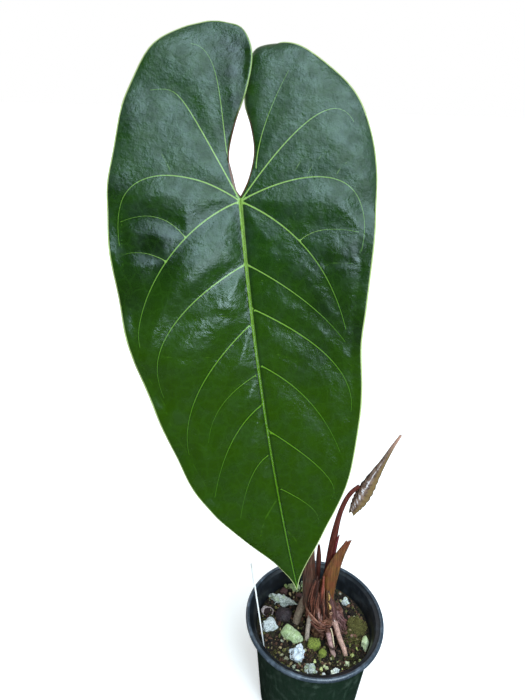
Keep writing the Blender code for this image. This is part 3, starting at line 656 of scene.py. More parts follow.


# %% [markdown]
# ## The long leaf: its finish
# The upper skin is living green tissue under a thin waxy cuticle. The cuticle has an IOR near 1.45, and
# the skin's cells scatter its reflection, so the sky shows as a soft blue-grey sheen wherever a pillow
# faces up. Away from the sheen the colour is dark green at the lobes and a warmer, clearer green towards
# the tip; that clearer green is in part painted light, for light shining through the blade. Soft patches
# of darker green are painted shade where the blade turns from the light. Veins are pale because they
# hold little green, and the darker green just outside each is painted shade in its groove. A thin pale
# line edges the blade, browner along the sinus. The values that the mesh carries place all of these
# exactly on its relief.

# %% Finish of the leaf
def rim_colour(material, down):
    """Pale green high in the sinus, and brown near the stem."""
    return painted(material, "8FA860", ((down, -0.056, -0.042), "6E4030"))


def leaf_face():
    """Living upper skin: a waxy cuticle over green cells, which gives a soft sheen broken by fine relief."""
    material, flat, vein, pale, fine_vein, margin, sinus, shaded, mottle, sheen = new_finish(
        "anthurium_leaf_upper_skin", 0.4, ("vein", "pale", "fine_vein", "margin", "sinus", "shaded"),
        ((12, 5), (9, 6)), True, IOR=1.48, Specular_IOR_Level=0.5, Specular_Tint="DCF2F4",
        Coat_Weight=0.3, Coat_Roughness=0.27, Coat_IOR=1.5)
    down = add(material, "SeparateXYZ", {0: flat}, "Y")
    # The clearer green that lower brings in towards the tip is in part painted light through the blade.
    lower = (down, 0.0, 0.12)
    warp = add(material, "TexNoise", {"Vector": flat, "Scale": cells(9), "Detail": 3}, "Color")
    warp = add(material, "VectorMath", {0: warp, "Scale": 0.007}, operation="SCALE")
    warped = add(material, "VectorMath", {0: flat, 1: warp})
    net = {"Vector": warped, "Scale": cells(7)}
    net = (add(material, "TexVoronoi", net, "Distance", feature="DISTANCE_TO_EDGE"), 0.0, 0.22)
    line = add(material, "Math", {0: margin, 1: (down, 0.1, 0.2, 1, 1.8)}, operation="MULTIPLY")
    vein_green = painted(material, "84A84C", (lower, "5A8818"), ((pale, 0.2, 1.0, 0.75, 0), "3C6A12"))
    body = painted(
        # The layer of darker green 0C1E07 from the patch values is painted shade.
        material, "17360B", (lower, "244100"), ((mottle, 0.35, 0.7, 0, 0.5), "224104"), (shaded, "0C1E07"),
        ((net, 0, 0.6, 0.07, 0), "3F6A1E"), ((fine_vein, 0.5, 1.6, 0.3, 0), vein_green),
        # 0C1E07 just outside each vein is painted shade in the vein's groove.
        ((vein, 1.5, 4.5, 0.45, 0), "0C1E07"), ((vein, 0.55, 1.35, 0.92, 0), vein_green),
        ((line, 0.4, 1.0, 0.95, 0), "B9C884"), ((sinus, 0.3, 0.9, 0.9, 0), rim_colour(material, down)))
    dull = {0: (sheen, 0.34, 0.66, 0.28, 0.6), 1: (down, -0.02, 0.05, 1, 0.52)}
    dull = add(material, "Math", dull, operation="MULTIPLY")
    skin = {"Vector": flat, "Scale": cells(2.2), "Detail": 5, "Roughness": 0.6}
    skin = {0: add(material, "TexNoise", skin, "Fac"), 1: (down, -0.01, 0.04, 1.15, 0.55)}
    skin = add(material, "Math", skin, operation="MULTIPLY")
    relief = add(material, "Math", {0: net, 1: 0.1}, operation="MULTIPLY")
    relief = add(material, "Math", {0: relief, 1: skin})
    return finished(material, body, relief, 1.0, 0.36, ("Normal", "Coat Normal"), Roughness=dull)


def leaf_back():
    """The underside: paler and duller, with ribs that stand out."""
    material, flat, vein, mottle = new_finish(
        "anthurium_leaf_underside", 0.62, ("vein",), ((10, 4),), True, IOR=1.4)
    net = {"Vector": flat, "Scale": cells(4)}
    net = (add(material, "TexVoronoi", net, "Distance", feature="DISTANCE_TO_EDGE"), 0.0, 0.12)
    body = painted(material, "4A6A2C", ((mottle, 0.3, 0.7), "5B7B3A"), ((net, 0, 1, 0.4, 0), "7B9655"),
                   ((vein, 1.0, 2.2, 0.9, 0), "94A765"))
    return finished(material, body, net, 0.5, 0.15)


def leaf_edge():
    """The rim of the blade, a thin line of pale tissue, browner along the sinus."""
    material, flat, sinus = new_finish("anthurium_leaf_margin", 0.5, ("sinus",), (), True, IOR=1.42)
    rim = rim_colour(material, add(material, "SeparateXYZ", {0: flat}, "Y"))
    return finished(material, painted(material, "A4B468", ((sinus, 0.1, 0.6, 1, 0), rim)))


make_long_leaf(leaf_face(), leaf_back(), leaf_edge())


# %% [markdown]
# ## Stems
# A leaf stem (petiole) is a round rod that swells where it meets the blade. Blender's curve objects
# could draw it, but a swept mesh can carry its own ridges and values, so rings of points are placed
# along a smooth path. Each ring is turned from the last by as little as possible, which keeps the
# ridges straight.

# %% Sweep rings along a path
def rings_along(path, angles):
    """The path's directions, and rings of directions square to it, turned as little as possible."""
    tangents = unit(np.gradient(path, axis=0))
    side = np.cross(tangents[0], (0, 1, 0.01))
    sides = []
    for tangent in tangents:
        side = side - (side @ tangent) * tangent
        side = side / np.linalg.norm(side)
        sides.append(side)
    right = np.array(sides)
    up = np.cross(tangents, right)
    return tangents, right[:, None] * np.cos(angles)[:, None] + up[:, None] * np.sin(angles)[:, None]


def sweep(path, radii, sides, per_span, section=None):
    """Points, faces and shares of the length of a closed rod.

    Section may change each ring's radii, given the share and the angle.
    """
    smooth = smooth_path(np.column_stack([path, radii]), per_span)
    path = smooth[:, :3]
    angles = np.linspace(0, 2 * np.pi, sides, endpoint=False)
    share = np.linspace(0, 1, len(path))
    radius = smooth[:, 3:] * np.ones(sides)
    if section:
        radius = radius * section(share[:, None], angles[None, :])
    _, ring = rings_along(path, angles)
    points = (path[:, None] + ring * radius[..., None]).reshape(-1, 3)
    last = len(points) - sides
    faces = grid_faces(len(path), sides, closed=True)
    faces += [(len(points), (i + 1) % sides, i) for i in range(sides)]
    faces += [(len(points) + 1, last + i, last + (i + 1) % sides) for i in range(sides)]
    along = np.concatenate([np.repeat(share, sides), [0, 1]])
    return np.vstack([points, path[:1], path[-1:]]), faces, along


# %% Paths of the two stems
LEAF_STEM_PATH = (
    (-4.2, 3, 100), (-6, 3.2, 128), (-8.2, 4, 158), (-14, 8, 205), (-26, 14, 265), (-41, 20, 330),
    (-54, 23, 380), (-59.5, 20.5, 397), (-61.6, 14, 404.6), (-62, 8.2, 408),
)
LEAF_STEM_RADII = (3.4, 3.3, 3.1, 2.9, 2.6, 2.4, 2.3, 2.55, 2.7, 2.4)
ROLLED_STEM_PATH = (
    (7.5, 5, 100), (8, 5.2, 125), (8.6, 5.6, 145), (9.8, 6.5, 168), (12, 7.3, 188), (15.2, 8, 201),
    (19, 8.6, 209), (24, 9, 214.6),
)
ROLLED_STEM_RADII = (3.4, 3.3, 3.1, 2.6, 1.9, 1.7, 1.6, 1.4)


def ridged(count, depth, from_share=0.0):
    """A ring section with fine ridges, only past a share of the rod's length."""
    full = from_share + 0.05
    return lambda share, angle: 1 + depth * np.cos(count * angle) * smoothstep(from_share, full, share)


# %% [markdown]
# The old stem is green with a brown cast near the crown and tiny pale dots. The young one is still full
# of red pigment. Both have a thin waxy skin with a satin sheen.

# %% Finish of the stems
def stem_skin(name, low, high, dots, roughness):
    """Stem tissue whose colour goes from low near the crown to high at the blade."""
    material, place, along, streak = new_finish(name, roughness, ("along",), ((1.4, 3, 0.12),), IOR=1.42)
    spots = add(material, "TexVoronoi", {"Vector": place, "Scale": cells(1.8)}, "Distance")
    body = painted(material, low, ((along, 0.05, 0.75), high), ((streak, 0.45, 0.75, 0, 0.5), dots),
                   ((spots, 0.12, 0.2, 0.5, 0), dots))
    return finished(material, body, streak, 0.4, 0.2)


def make_stem(name, path, radii, finish, node, section):
    """A stem over its solid, with its share of the length at every point."""
    points, faces, along = sweep(path, radii, 28, 8, section)
    stem = new_piece(name, points, faces, [finish], [node])
    write_values(stem.data, "along", along)
    print(name, len(faces), "faces")


green_skin = stem_skin("green_petiole_skin", "4A3A22", "56702C", "7C8A48", 0.42)
make_stem("long_leaf_stem", LEAF_STEM_PATH, LEAF_STEM_RADII, green_skin, "leaf_petiole",
          ridged(9, 0.035, 0.82))
red_skin = stem_skin("red_petiole_skin", "42110C", "592820", "7A443A", 0.34)
make_stem("rolled_leaf_stem", ROLLED_STEM_PATH, ROLLED_STEM_RADII, red_skin, "young_petiole",
          ridged(5, 0.03))


# %% [markdown]
# ## The rolled young leaf
# A new blade leaves its sheath rolled up like a scroll, thin, soft and bronze with a wet-looking gloss.
# A rod would miss the overlapping edge, so each ring is a spiral of a little over one turn, and the
# veins below push slanting wrinkles through the outer layer. Its two basal lobes end unevenly. The pale
# streaks on the wrinkles of its front, the side towards the camera, are painted highlights.

# %% Roll the young leaf
ROLLED_PATH = (
    (21.3, 8, 191), (22.6, 8, 195), (25, 8, 201), (27.5, 8, 207.5), (30.2, 8, 215), (33.7, 8, 225),
    (38.3, 8, 237), (42.8, 8, 249), (47.2, 8, 259),
)
ROLLED_RADII = (1.9, 3.5, 4.9, 5.4, 5.0, 3.6, 2.0, 1.15, 0.6)
ROLL_TURNS = 1.35
ROLL_START = math.radians(200)
ROLL_THICKNESS = 0.5
# ROLL_FRONT points towards the camera: the painted highlights are laid on the side of the roll facing it.
ROLL_FRONT = np.array((-0.36, -0.72, 0.59))  # the way the wrinkled side of the roll faces


def make_rolled_leaf(finish):
    """Spiral rings with slanting wrinkles, and values for its painted highlights and its olive side."""
    smooth = smooth_path(np.column_stack([ROLLED_PATH, ROLLED_RADII]), 10)
    path = smooth[:, :3]
    turns = np.linspace(0, 1, 64)
    share = np.linspace(0, 1, len(path))[:, None]
    tangent, ring = rings_along(path, ROLL_START + 2 * np.pi * ROLL_TURNS * turns)
    phase = 2 * np.pi * (13 * share + 2.6 * turns) + 1.6 * np.sin(9 * turns + 11 * share)
    wrinkle = 0.05 * np.sin(phase) * (smoothstep(0.03, 0.15, share) * smoothstep(0.85, 0.5, share))
    radius = smooth[:, 3:] * (0.8 + 0.2 * smoothstep(0.1, 1.0, turns) + wrinkle)
    ragged = 1.7 * np.sin(5.0 * turns + 0.6) + 0.8 * np.sin(17 * turns)
    points = path[:, None] + ring * radius[..., None]
    points += tangent[:, None] * (ragged * (1 - smoothstep(0, 0.12, share)))[..., None]
    leaf = new_piece("rolled_leaf", points.reshape(-1, 3), grid_faces(len(path), len(turns)), [finish],
                     ["young_leaf"])
    beside = unit(np.cross(tangent, ROLL_FRONT))
    sideways = (ring * beside[:, None]).sum(axis=2)
    # The band of pale streaks on the wrinkle tops of the front is a painted highlight.
    tops = np.clip(0.35 + 0.65 * np.sin(phase + 1.2 + 3.5 * sideways), 0, 1)
    band = np.exp(-(((sideways + 0.12) / 0.36) ** 2)) * tops * smoothstep(0.75, 0.45, share)
    band += 0.55 * np.exp(-(((sideways + 0.05) / 0.12) ** 2)) * smoothstep(0.3, 0.5, share)
    wax = band * ((ring @ ROLL_FRONT) > 0) * (smoothstep(0.03, 0.1, share) * smoothstep(0.9, 0.7, share))
    side = smoothstep(0.3, 0.62, sideways + 0.1 * np.sin(2 * phase))
    for name, values in (("along", share + 0 * wax), ("wax", wax), ("side", side)):
        write_values(leaf.data, name, values.ravel())
    modified(leaf, "SOLIDIFY", thickness=ROLL_THICKNESS * MM, offset=0)
    print("rolled leaf", len(leaf.data.polygons), "faces")


# %% Finish of the rolled leaf
def rolled_skin():
    """Soft new tissue: taupe with painted highlights in wrinkled bands, olive on one side, pink at the tip.
    """
    material, _, wax, side, along, patches, streaks = new_finish(
        "new_leaf_wet_bronze", 0.26, ("wax", "side", "along"), ((3, 5), (1.1, 3)),
        IOR=1.48, Coat_Weight=0.7, Coat_Roughness=0.15)
    # E8E2E6 in streaks over the band is the painted highlight.
    painted_highlight = add(material, "Math", {0: wax, 1: (streaks, 0.35, 0.6, 0.3, 1.4)}, operation="MULTIPLY")
    body = painted(material, "574338", ((patches, 0.35, 0.65), "8A7264"), (side, "7A6440"),
                   ((painted_highlight, 0.15, 1.0), "E8E2E6"), ((along, 0.8, 0.97), "B48A78"),
                   ((along, 0.0, 0.1, 0.7, 0), "6B5E30"))
    return finished(material, body, patches, 0.6, 0.4)


make_rolled_leaf(rolled_skin())


# %% [markdown]
# ## Dry sheaths
# A cataphyll is a papery sheath that wrapped the growing leaf and then dried. It is a gutter that
# narrows upwards, ribbed along its length. The same rows of points that shape the solid are used here,
# with more of them, a ribbed skin and an uneven top.

# %% Shape the sheaths
SHEATHS = {
    "cataphyll_left": {
        "foot": (-4.3, 3, 101), "tip": (-10.2, 4.9, 184), "bow": 1.0, "curl": 4.5, "faces": -80,
        "spread": (120, 70), "blunt": 0.06,
    },
    "cataphyll_right": {
        "foot": (8.4, 4.8, 104), "tip": (18.4, 6.2, 171), "bow": 2.6, "curl": 6.0, "faces": -75,
        "spread": (100, 62), "blunt": 0.3,
    },
}
SHEATH_THICKNESS = 0.6


def make_sheath(name, finish, foot, tip, bow, curl, faces, spread, blunt):
    """A ribbed gutter round a line from foot to tip, spread in degrees to each side at foot and tip."""
    height = np.linspace(0, 1, 60)[:, None]
    across = np.linspace(-1, 1, 37)
    foot, tip = np.array(foot, float), np.array(tip, float)
    middle = foot + (tip - foot) * height**bow
    level = foot[2] + (tip[2] - foot[2]) * height
    narrowed = blunt + (1 - blunt) * (1 - height**3)
    half_spread = np.radians(spread[0] + (spread[1] - spread[0]) * height) * narrowed
    turn = math.radians(faces) + half_spread * across
    ripple = 0.25 * np.sin(5 * height + 10.4 * (across + 1))
    ribs = 0.12 * np.sin(2 * np.pi * 6.5 * across)
    radius = curl + ripple + ribs
    uneven = 0.6 * np.sin(7 * across + 1) + 0.25 * np.sin(19 * across)
    points = np.dstack([middle[:, :1] + radius * np.cos(turn), middle[:, 1:2] + radius * np.sin(turn),
                        level + 0 * turn + uneven * smoothstep(0.9, 1.0, height)])
    sheath = new_piece(f"dry_{name}", points.reshape(-1, 3), grid_faces(*turn.shape), [finish], [name])
    write_values(sheath.data, "along", (height + 0 * turn).ravel())
    modified(sheath, "SOLIDIFY", thickness=SHEATH_THICKNESS * MM, offset=0)
    print(name, len(sheath.data.polygons), "faces")


# %% Finish of dry tissue
def dry_tissue(name, dark, light, red, red_from=0.0):
    """Dried sheath: fibres along its length, redder towards one end."""
    material, _, along, fibre, stain = new_finish(name, 0.42, ("along",), ((0.9, 5, 0.06), (8, 3)), IOR=1.48)
    body = painted(material, dark, ((fibre, 0.35, 0.68), light), ((stain, 0.42, 0.65, 0, 0.7), red),
                   ((along, red_from, red_from + 0.15, 0, 0.8), red))
    return finished(material, body, fibre, 0.7, 0.25)


dark_sheath = dry_tissue("dry_sheath_dark", "38271E", "664A3A", "5A2E22", 0.95)
amber_sheath = dry_tissue("dry_sheath_amber", "553716", "8C5E2E", "7A4029", 0.8)
for (name, shape), finish in zip(SHEATHS.items(), (dark_sheath, amber_sheath)):
    make_sheath(name, finish, **shape)

# %% The narrow scale between the stems
SCALE_PATH = ((1.8, 7.5, 104), (1.0, 7.5, 130), (0.3, 7.2, 146), (-0.6, 6.8, 160))
SCALE_RADII = (1.5, 1.5, 1.8, 0.8)
make_stem("narrow_scale", SCALE_PATH, SCALE_RADII, dry_tissue("dry_scale_red", "3A211B", "6A463C", "55291F"),
          "bud_scale", ridged(4, 0.08))


# %% [markdown]
# ## The crown and its roots
# The crown is a short upright stem wrapped in the torn bases of old sheaths, and thick roots grow out
# of it and dive into the mix. On the plant they are one body, so the parts are joined and then remeshed
# in small voxels, which melts each root into the crown. Points are pushed in and out afterwards to make
# the fibrous skin.

# %% Shape the crown
CROWN_AXIS = ((8.5, 2.5), (3.0, 4.0))
CROWN_TOP = 113.0
MIX_LEVEL = 78.0
CROWN_PROFILE = (  # radius and height
    (0.1, 113.5), (8, 113), (9.6, 110), (10.6, 102), (12.2, 92), (12.6, 82), (11.5, 74), (8, 66.2),
    (0.1, 66),
)
# Roots: the places that each passes, and its radius
ROOTS = (
    ((12, 0, 96), (15.5, -6, 93), (19, -14, 86), (22.6, -20.5, 80), (24.6, -23.6, 72), 2.0),
    ((9, -2, 92), (10.5, -12.5, 88), (12.5, -19, 82), (14.4, -23.4, 77), (15, -24.6, 71), 1.9),
    ((0, 0, 100), (-3.4, -4, 97), (-5.2, -8.2, 89), (-5.6, -11, 80), (-5.7, -11.8, 71), 1.8),
    ((-1, 5, 108), (-6.5, 6, 104), (-10.5, 5.2, 92), (-13, 4.4, 80), (-13.8, 4, 71), 3.2),
    ((14, 6, 99), (19, 6, 95), (21.6, 5.2, 88), (23.4, 3.6, 79), (24, 3, 71), 2.5),
)
STRAND = ((-5, -1, 101), (-1, -8, 99.5), (5, -10.5, 96), (11, -9.5, 93), (14, -4, 92))
STRAND_RADII = (0.7, 0.9, 1.0, 0.9, 0.6)
ROOT_TAPER = (1.15, 1.1, 1.0, 0.95, 0.9)  # shares of a root's radius from the crown downwards
CROWN_VOXEL = 0.42


def crown_body():
    """Rings of the crown's profile, ridged, and leaning as it grew."""
    profile = smooth_path(CROWN_PROFILE, 4)
    angles = np.linspace(0, 2 * np.pi, 72, endpoint=False)
    radius = profile[:, :1] * np.ones(len(angles))
    level = profile[:, 1:] * np.ones(len(angles))
    ring_x, ring_y = (2.2 * wave(angles) + 0 * level for wave in (np.cos, np.sin))
    seats = np.dstack([ring_x, ring_y, level / 14])
    bumps = rough(seats.reshape(-1, 3), 1.0).reshape(level.shape)
    radius = radius + np.where(radius > 4, 0.9 * (1.6 * bumps + 0.4 * np.sin(7 * angles)), 0)
    share = np.clip((level - MIX_LEVEL) / (CROWN_TOP - MIX_LEVEL), 0, 1)[..., None]
    low, high = (np.array(place) for place in CROWN_AXIS)
    axis = low + (high - low) * share
    x, y = axis[..., 0] + radius * np.cos(angles), axis[..., 1] + radius * np.sin(angles)
    points = np.dstack([x, y, level])
    faces = [face[::-1] for face in capped_rings(len(profile), len(angles))]
    return points.reshape(-1, 3), faces


def on_crown(turn, level, off=0.0):
    """A place beside the crown: by its turn in degrees, its level, and how far it stands off."""
    share = np.clip((level - MIX_LEVEL) / (CROWN_TOP - MIX_LEVEL), 0, 1)
    x, y = np.array(CROWN_AXIS[0]) * (1 - share) + np.array(CROWN_AXIS[1]) * share
    levels, radii = zip(*[(z, r) for r, z in CROWN_PROFILE[::-1]])
    radius = np.interp(min(level, CROWN_TOP - 3), levels, radii) - 0.11 * max(level - CROWN_TOP + 3, 0) + off
    turn = math.radians(turn)
    return np.array([x + radius * math.cos(turn), y + radius * math.sin(turn), level])


# %% [markdown]
# The crown's colour changes from one torn strip to the next, so colour is carried by the mesh too:
# streaks that follow the fibres, then listed patches, most of paler torn tissue, with near-black painted
# shade in gaps between strips and a pale pink painted highlight, and each root in its own tone. The skin
# is darker where it is pushed in, which is painted shade. A root's living skin is pinkish tan and greyer
# where older. Fine noise in the finish breaks the streaks.

# %% Colour and push the crown's skin
CROWN_TONES = ("26160F", "5A3426", "7C5040", "A88272")
# Patches that show, most of torn tissue: turn, level, size in millimetres and colour
# Among them the near-black 1C0F0A and 120C08 are painted shade in gaps between strips, B58D80 a painted
# highlight.
CROWN_PATCHES = (
    (-102, 99, 2.6, "B58D80"), (-100, 110, 2.4, "9A7064"), (-96, 88, 3.0, "5A382C"),
    (-80, 104, 2.2, "34190F"), (-66, 106, 2.4, "1C0F0A"), (-66, 96, 2.6, "7A5038"),
    (-60, 88, 2.2, "120C08"), (-75, 84, 2.4, "8A6A66"), (-140, 88, 3.0, "3A241A"),
    (-120, 84, 3.0, "6E5238"), (-35, 98, 3.4, "6E4842"), (-20, 90, 3.4, "7C5552"),
    (-160, 100, 3.0, "5A4030"), (10, 100, 4.0, "5C4034"), (60, 95, 5.0, "4A3226"),
    (120, 98, 5.0, "5A3C2C"),
)
ROOT_TONES = (  # at the crown and at the far end
    ("A68074", "D2A892"), ("AE8284", "A88C78"), ("9A8878", "B2A294"), ("7A6452", "988876"),
    ("7E5450", "946C64"),
)


def between(tones, share):
    """Colours for shares from 0 to 1 along a list of tones."""
    tones = np.array([linear(tone)[:3] for tone in tones])
    place = np.clip(share, 0, 1) * (len(tones) - 1)
    return np.stack([np.interp(place, range(len(tones)), channel) for channel in tones.T], axis=1)


def crown_colours(points, fibres, bark, root, along):
    """The colour of every point: fibre streaks, patches with painted shade and highlight, and the roots'
    tones.
    """
    colours = between(CROWN_TONES, 0.42 + 0.55 * fibres + 0.3 * rough(points, 5.0, 12.0))
    for turn, level, size, tone in CROWN_PATCHES:
        away = (points - on_crown(turn, level)) * (1, 1, 0.55)
        away = np.linalg.norm(away, axis=1) * (1 + 0.5 * rough(points * (1, 1, 0.4), 1.6, turn))
        colours += (linear(tone)[:3] - colours) * smoothstep(1.1 * size, 0.7 * size, away)[:, None]
    mottle = 1 + 0.35 * rough(points * (1, 1, 0.5), 1.6, 3.0)
    for number, tones in enumerate(ROOT_TONES):
        skin = between(tones, along) * mottle[:, None]
        colours += np.where(root == number, 1 - bark, 0)[:, None] * (skin - colours)
    return colours


def make_crown(finish):
    """Crown, roots and strand melted into one body, with a pushed and coloured skin, painted shade in its
    dents.
    """
    points, faces = crown_body()
    rods = [(path, [radius * share for share in ROOT_TAPER]) for *path, radius in ROOTS]
    rods.append((STRAND, STRAND_RADII))
    for path, radii in rods:
        rod_points, rod_faces, _ = sweep(path, radii, 20, 6)
        faces += [tuple(index + len(points) for index in face) for face in rod_faces]
        points = np.vstack([points, rod_points])
    crown = new_piece("crown_and_roots", points, faces, [finish], ["stem_crown"])
    modified(crown, "REMESH", mode="VOXEL", voxel_size=CROWN_VOXEL * MM)
    modified(crown, "SMOOTH", iterations=2)
    points = read_points(crown.data)
    nearness = np.full(len(points), 9.0)
    root = np.zeros(len(points), int)
    along = np.zeros(len(points))
    for number, (path, radii) in enumerate(rods[:-1]):
        distance, share = nearest(points, smooth_path(path, 6))
        relative = distance / (radii[0] * 1.15) + 1.2 * smoothstep(0.3, 0.12, share)
        closer = relative < nearness
        root[closer], along[closer], nearness[closer] = number, share[closer], relative[closer]
    normals = np.empty(len(points) * 3, np.float32)
    crown.data.vertices.foreach_get("normal", normals)
    bark = np.maximum(smoothstep(0.95, 1.3, nearness), 0.75 * (root == 4))
    fibres = rough(points * (1, 1, 0.2), 1.3, 2.0) + 0.6 * rough(points * (1, 1, 0.3), 0.7, 9.0)
    push = (0.5 * fibres + 0.8 * rough(points, 3.4, 4.0)) * bark
    push += (0.16 * rough(points * (1, 1, 0.4), 1.3, 6.0) + 0.1 * rough(points, 0.8, 8.0)) * (1 - bark)
    colours = crown_colours(points, fibres, bark, root, along)
    # The bark's colour is darkened where its skin is pushed in: painted shade in the grooves.
    colours *= 1 - 0.6 * (smoothstep(-0.05, -0.5, push) * bark)[:, None]
    places = (points + normals.reshape(-1, 3) * push[:, None]) * MM
    crown.data.vertices.foreach_set("co", places.astype(np.float32).ravel())
    crown.data.update()
    crown.data.shade_smooth()
    write_values(crown.data, "tint", np.clip(colours, 0.004, 1))
    print("crown and roots", len(crown.data.polygons), "faces")


def tinted(name, roughness, grain_mm, depth_mm, spread=0.35):
    """A matte natural surface in each bit's own colour, lighter and darker in grains of this size."""
    material, _, grain = new_finish(name, roughness, (), ((grain_mm, 4),), IOR=1.45)
    tint = add(material, "Attribute", {}, "Color", attribute_name="tint")
    shade = (grain, 0.3, 0.7, 1 - spread, 1 + spread)
    body = add(material, "VectorMath", {0: tint, "Scale": shade}, operation="SCALE")
    return finished(material, body, grain, 0.8, depth_mm)


make_crown(tinted("fibrous_crown_and_root_skin", 0.6, 0.7, 0.3, 0.4))


# %% [markdown]
# ## Torn sheath strips and fibres
# Strips of old sheath still cling to the crown and wrap the feet of the stems: some stand as pale
# flakes, some cross it, and fine dry fibres curl round it. Each strip is a short thin ribbon beside the
# crown. Those that show are listed one by one, and the rest are drawn at random from one seed.

# %% Lay the strips
# Each strip: turn and level where it starts and ends, width, how far it stands off, and its colour
# The pale pink strip A98378 near turn -101 is a painted highlight.
PLACED_STRIPS = (
    (-152, 99, -140, 133, 3.2, 0.7, "46322A"), (-132, 97, -124, 137, 3.0, 0.9, "4A2A20"),
    (-117, 98, -112, 134, 2.6, 1.2, "583024"), (-108, 97, -105, 118, 2.0, 1.8, "70483C"),
    (-101, 97, -100, 110, 2.2, 2.2, "A98378"), (-96, 100, -92, 128, 2.0, 1.1, "4E2A20"),
    (-86, 103, -82, 138, 3.0, 0.9, "84402F"), (-80, 101, -77, 122, 1.7, 1.5, "8A5244"),
    (-70, 98, -68, 116, 1.8, 0.9, "3A1E16"), (-60, 98, -57, 124, 2.4, 0.9, "5E3C24"),
    (-53, 105, -52, 112, 2.2, 1.9, "BE9A58"), (-51, 113, -49, 121, 1.9, 1.5, "B08A4E"),
    (-46, 96, -42, 122, 2.8, 1.2, "5A3C36"), (-36, 92, -31, 117, 3.6, 1.3, "6E4A46"),
    (-24, 90, -20, 113, 3.2, 1.0, "5E3F3A"), (-12, 86, -8, 106, 3.2, 0.8, "4E3430"),
    (-172, 92, -166, 118, 4.0, 0.8, "5C4A3C"), (-150, 84, -135, 98, 3.0, 0.8, "4E3628"),
    (-128, 82, -100, 92, 3.4, 0.7, "5A3A2A"), (-116, 80, -84, 85, 3.2, 0.8, "6A4A3A"),
    (-98, 90, -72, 84, 2.6, 0.7, "4A2C22"), (-94, 96, -70, 99, 2.4, 1.0, "7C5038"),
)
STREAK_COLOURS = ("3A2018", "4A2A20", "5E3428", "7A4634", "8C5C48", "452E26")
FIBRE_COLOURS = ("4A2C20", "6B4335", "2E1A12", "7E5444", "8A6A50")
# Strips drawn at random: how many, then ranges for turn, level, how far each turns and rises, its width
# and how far it stands off, and its colours. First come upright streaks in front, then strips round the
# sides and the back.
STRIP_CROWDS = (
    (46, (-165, -76), (94, 104), (-3, 9), (9, 32), (0.7, 1.7), (0.9, 2.2), STREAK_COLOURS),
    (34, (-15, 200), (82, 100), (-20, 20), (8, 22), (1.4, 3.4), (0.3, 1.1), FIBRE_COLOURS),
)
RANDOM_FIBRES = 110
# Fine shreds to the right: how many, their two ends with the spread of each, and their colours
SHREDS = 90
SHRED_ENDS = (((16.5, 0.0, 93.0), (2.0, 4.0, 5.0)), ((22.5, -1.0, 82.0), (4.0, 6.0, 3.0)))
SHRED_COLOURS = ("6E4A48", "8A625E", "5A3A36", "A07C74")
# Ropes of fibre that cross the crown: turn, level and stand-off along each, its radius and colour
ROPES = (
    (((-178, 102, 1.0), (-150, 101, 1.9), (-122, 98.5, 2.4), (-95, 96.5, 2.2), (-72, 98, 1.2)),
     0.75, "8A5844"),
    (((-172, 99, 1.0), (-146, 96, 1.9), (-118, 93, 2.2), (-92, 92, 1.8), (-68, 94.5, 1.0)), 0.65, "6E3F30"),
    (((-166, 104, 1.0), (-140, 100, 2.2), (-112, 96, 2.6), (-90, 93.5, 2.0)), 0.45, "A0705A"),
    (((-112, 105, 1.0), (-98, 100, 2.4), (-82, 96, 2.2), (-62, 94, 1.0)), 0.55, "7A4A38"),
    (((-86, 109, 0.8), (-78, 103, 1.9), (-66, 99, 2.0), (-50, 97, 1.0)), 0.45, "5A3428"),
    (((-150, 92, 0.6), (-126, 90, 1.2), (-102, 87, 1.4), (-84, 83, 0.8)), 0.6, "553527"),
    (((-134, 97, 0.8), (-116, 91, 1.6), (-100, 89, 1.6), (-80, 90, 1.0)), 0.4, "8E6350"),
)
# Single fibres that show, and last the red lip on the young stem: a path, its radius and colour
PLACED_FIBRES = (
    (((8.4, -17.0, 84), (11.0, -21.2, 84.5), (14.5, -21.6, 83.6), (17.0, -18.0, 83)), 0.75, "3E261E"),
    (((12.0, -10.5, 92), (13.2, -13.5, 89.5), (13.9, -17.5, 86), (14.6, -20.0, 83.6)), 0.5, "D0BD98"),
    (((10.2, -7.6, 104.6), (11.4, -7.6, 105.6), (12.6, -7.0, 104.4), (11.6, -7.4, 103.2),
      (10.2, -7.6, 104.4)), 0.45, "A07860"),
    (((-6.6, -2.0, 103), (-3.0, -7.6, 101.6), (1.5, -10.2, 98.4), (6.0, -10.6, 94.5)), 0.6, "9A6A54"),
    (((-5.0, -4.6, 100), (0.0, -9.6, 97.4), (4.6, -11.4, 93.5), (9.6, -11.0, 91)), 0.5, "70432F"),
    (((13.6, -3.4, 97), (15.6, -6.8, 94.6), (17.0, -9.6, 91.6), (18.2, -12.6, 88.4)), 0.35, "D8C4B4"),
    (((10.7, 3.4, 146), (11.3, 4.0, 156), (12.1, 4.5, 166), (13.2, 4.8, 172.5)), 0.95, "74262E"),
)


def strip_mesh(turn_1, level_1, turn_2, level_2, width, off, steps=12):
    """A thin closed ribbon from one place on the crown to another, arched off it in its middle."""
    share = np.linspace(0, 1, steps)
    arch = off * (0.35 + np.sin(np.pi * share))
    line = np.array([on_crown(turn_1 + (turn_2 - turn_1) * t, level_1 + (level_2 - level_1) * t, lift)
                     for t, lift in zip(share, arch)])
    outward = line - (3.5, 4.0, 0)
    outward[:, 2] = 0
    outward = unit(outward)
    across = unit(np.cross(np.gradient(line, axis=0), outward))
    half = width / 2 * (0.3 + 0.7 * np.sin(np.pi * np.linspace(0.1, 0.9, steps)))
    half = half * (1 + 0.18 * np.sin(2.3 * turn_1 + 9 * share))
    corners = ((-1, 0.5), (-0.35, 0.08), (0.35, 0.0), (1, 0.45), (0.35, 0.3), (-0.35, 0.38))
    rings = [line + across * (half * side)[:, None] - outward * dip for side, dip in corners]
    return np.stack(rings, axis=1).reshape(-1, 3), capped_rings(steps, len(corners))


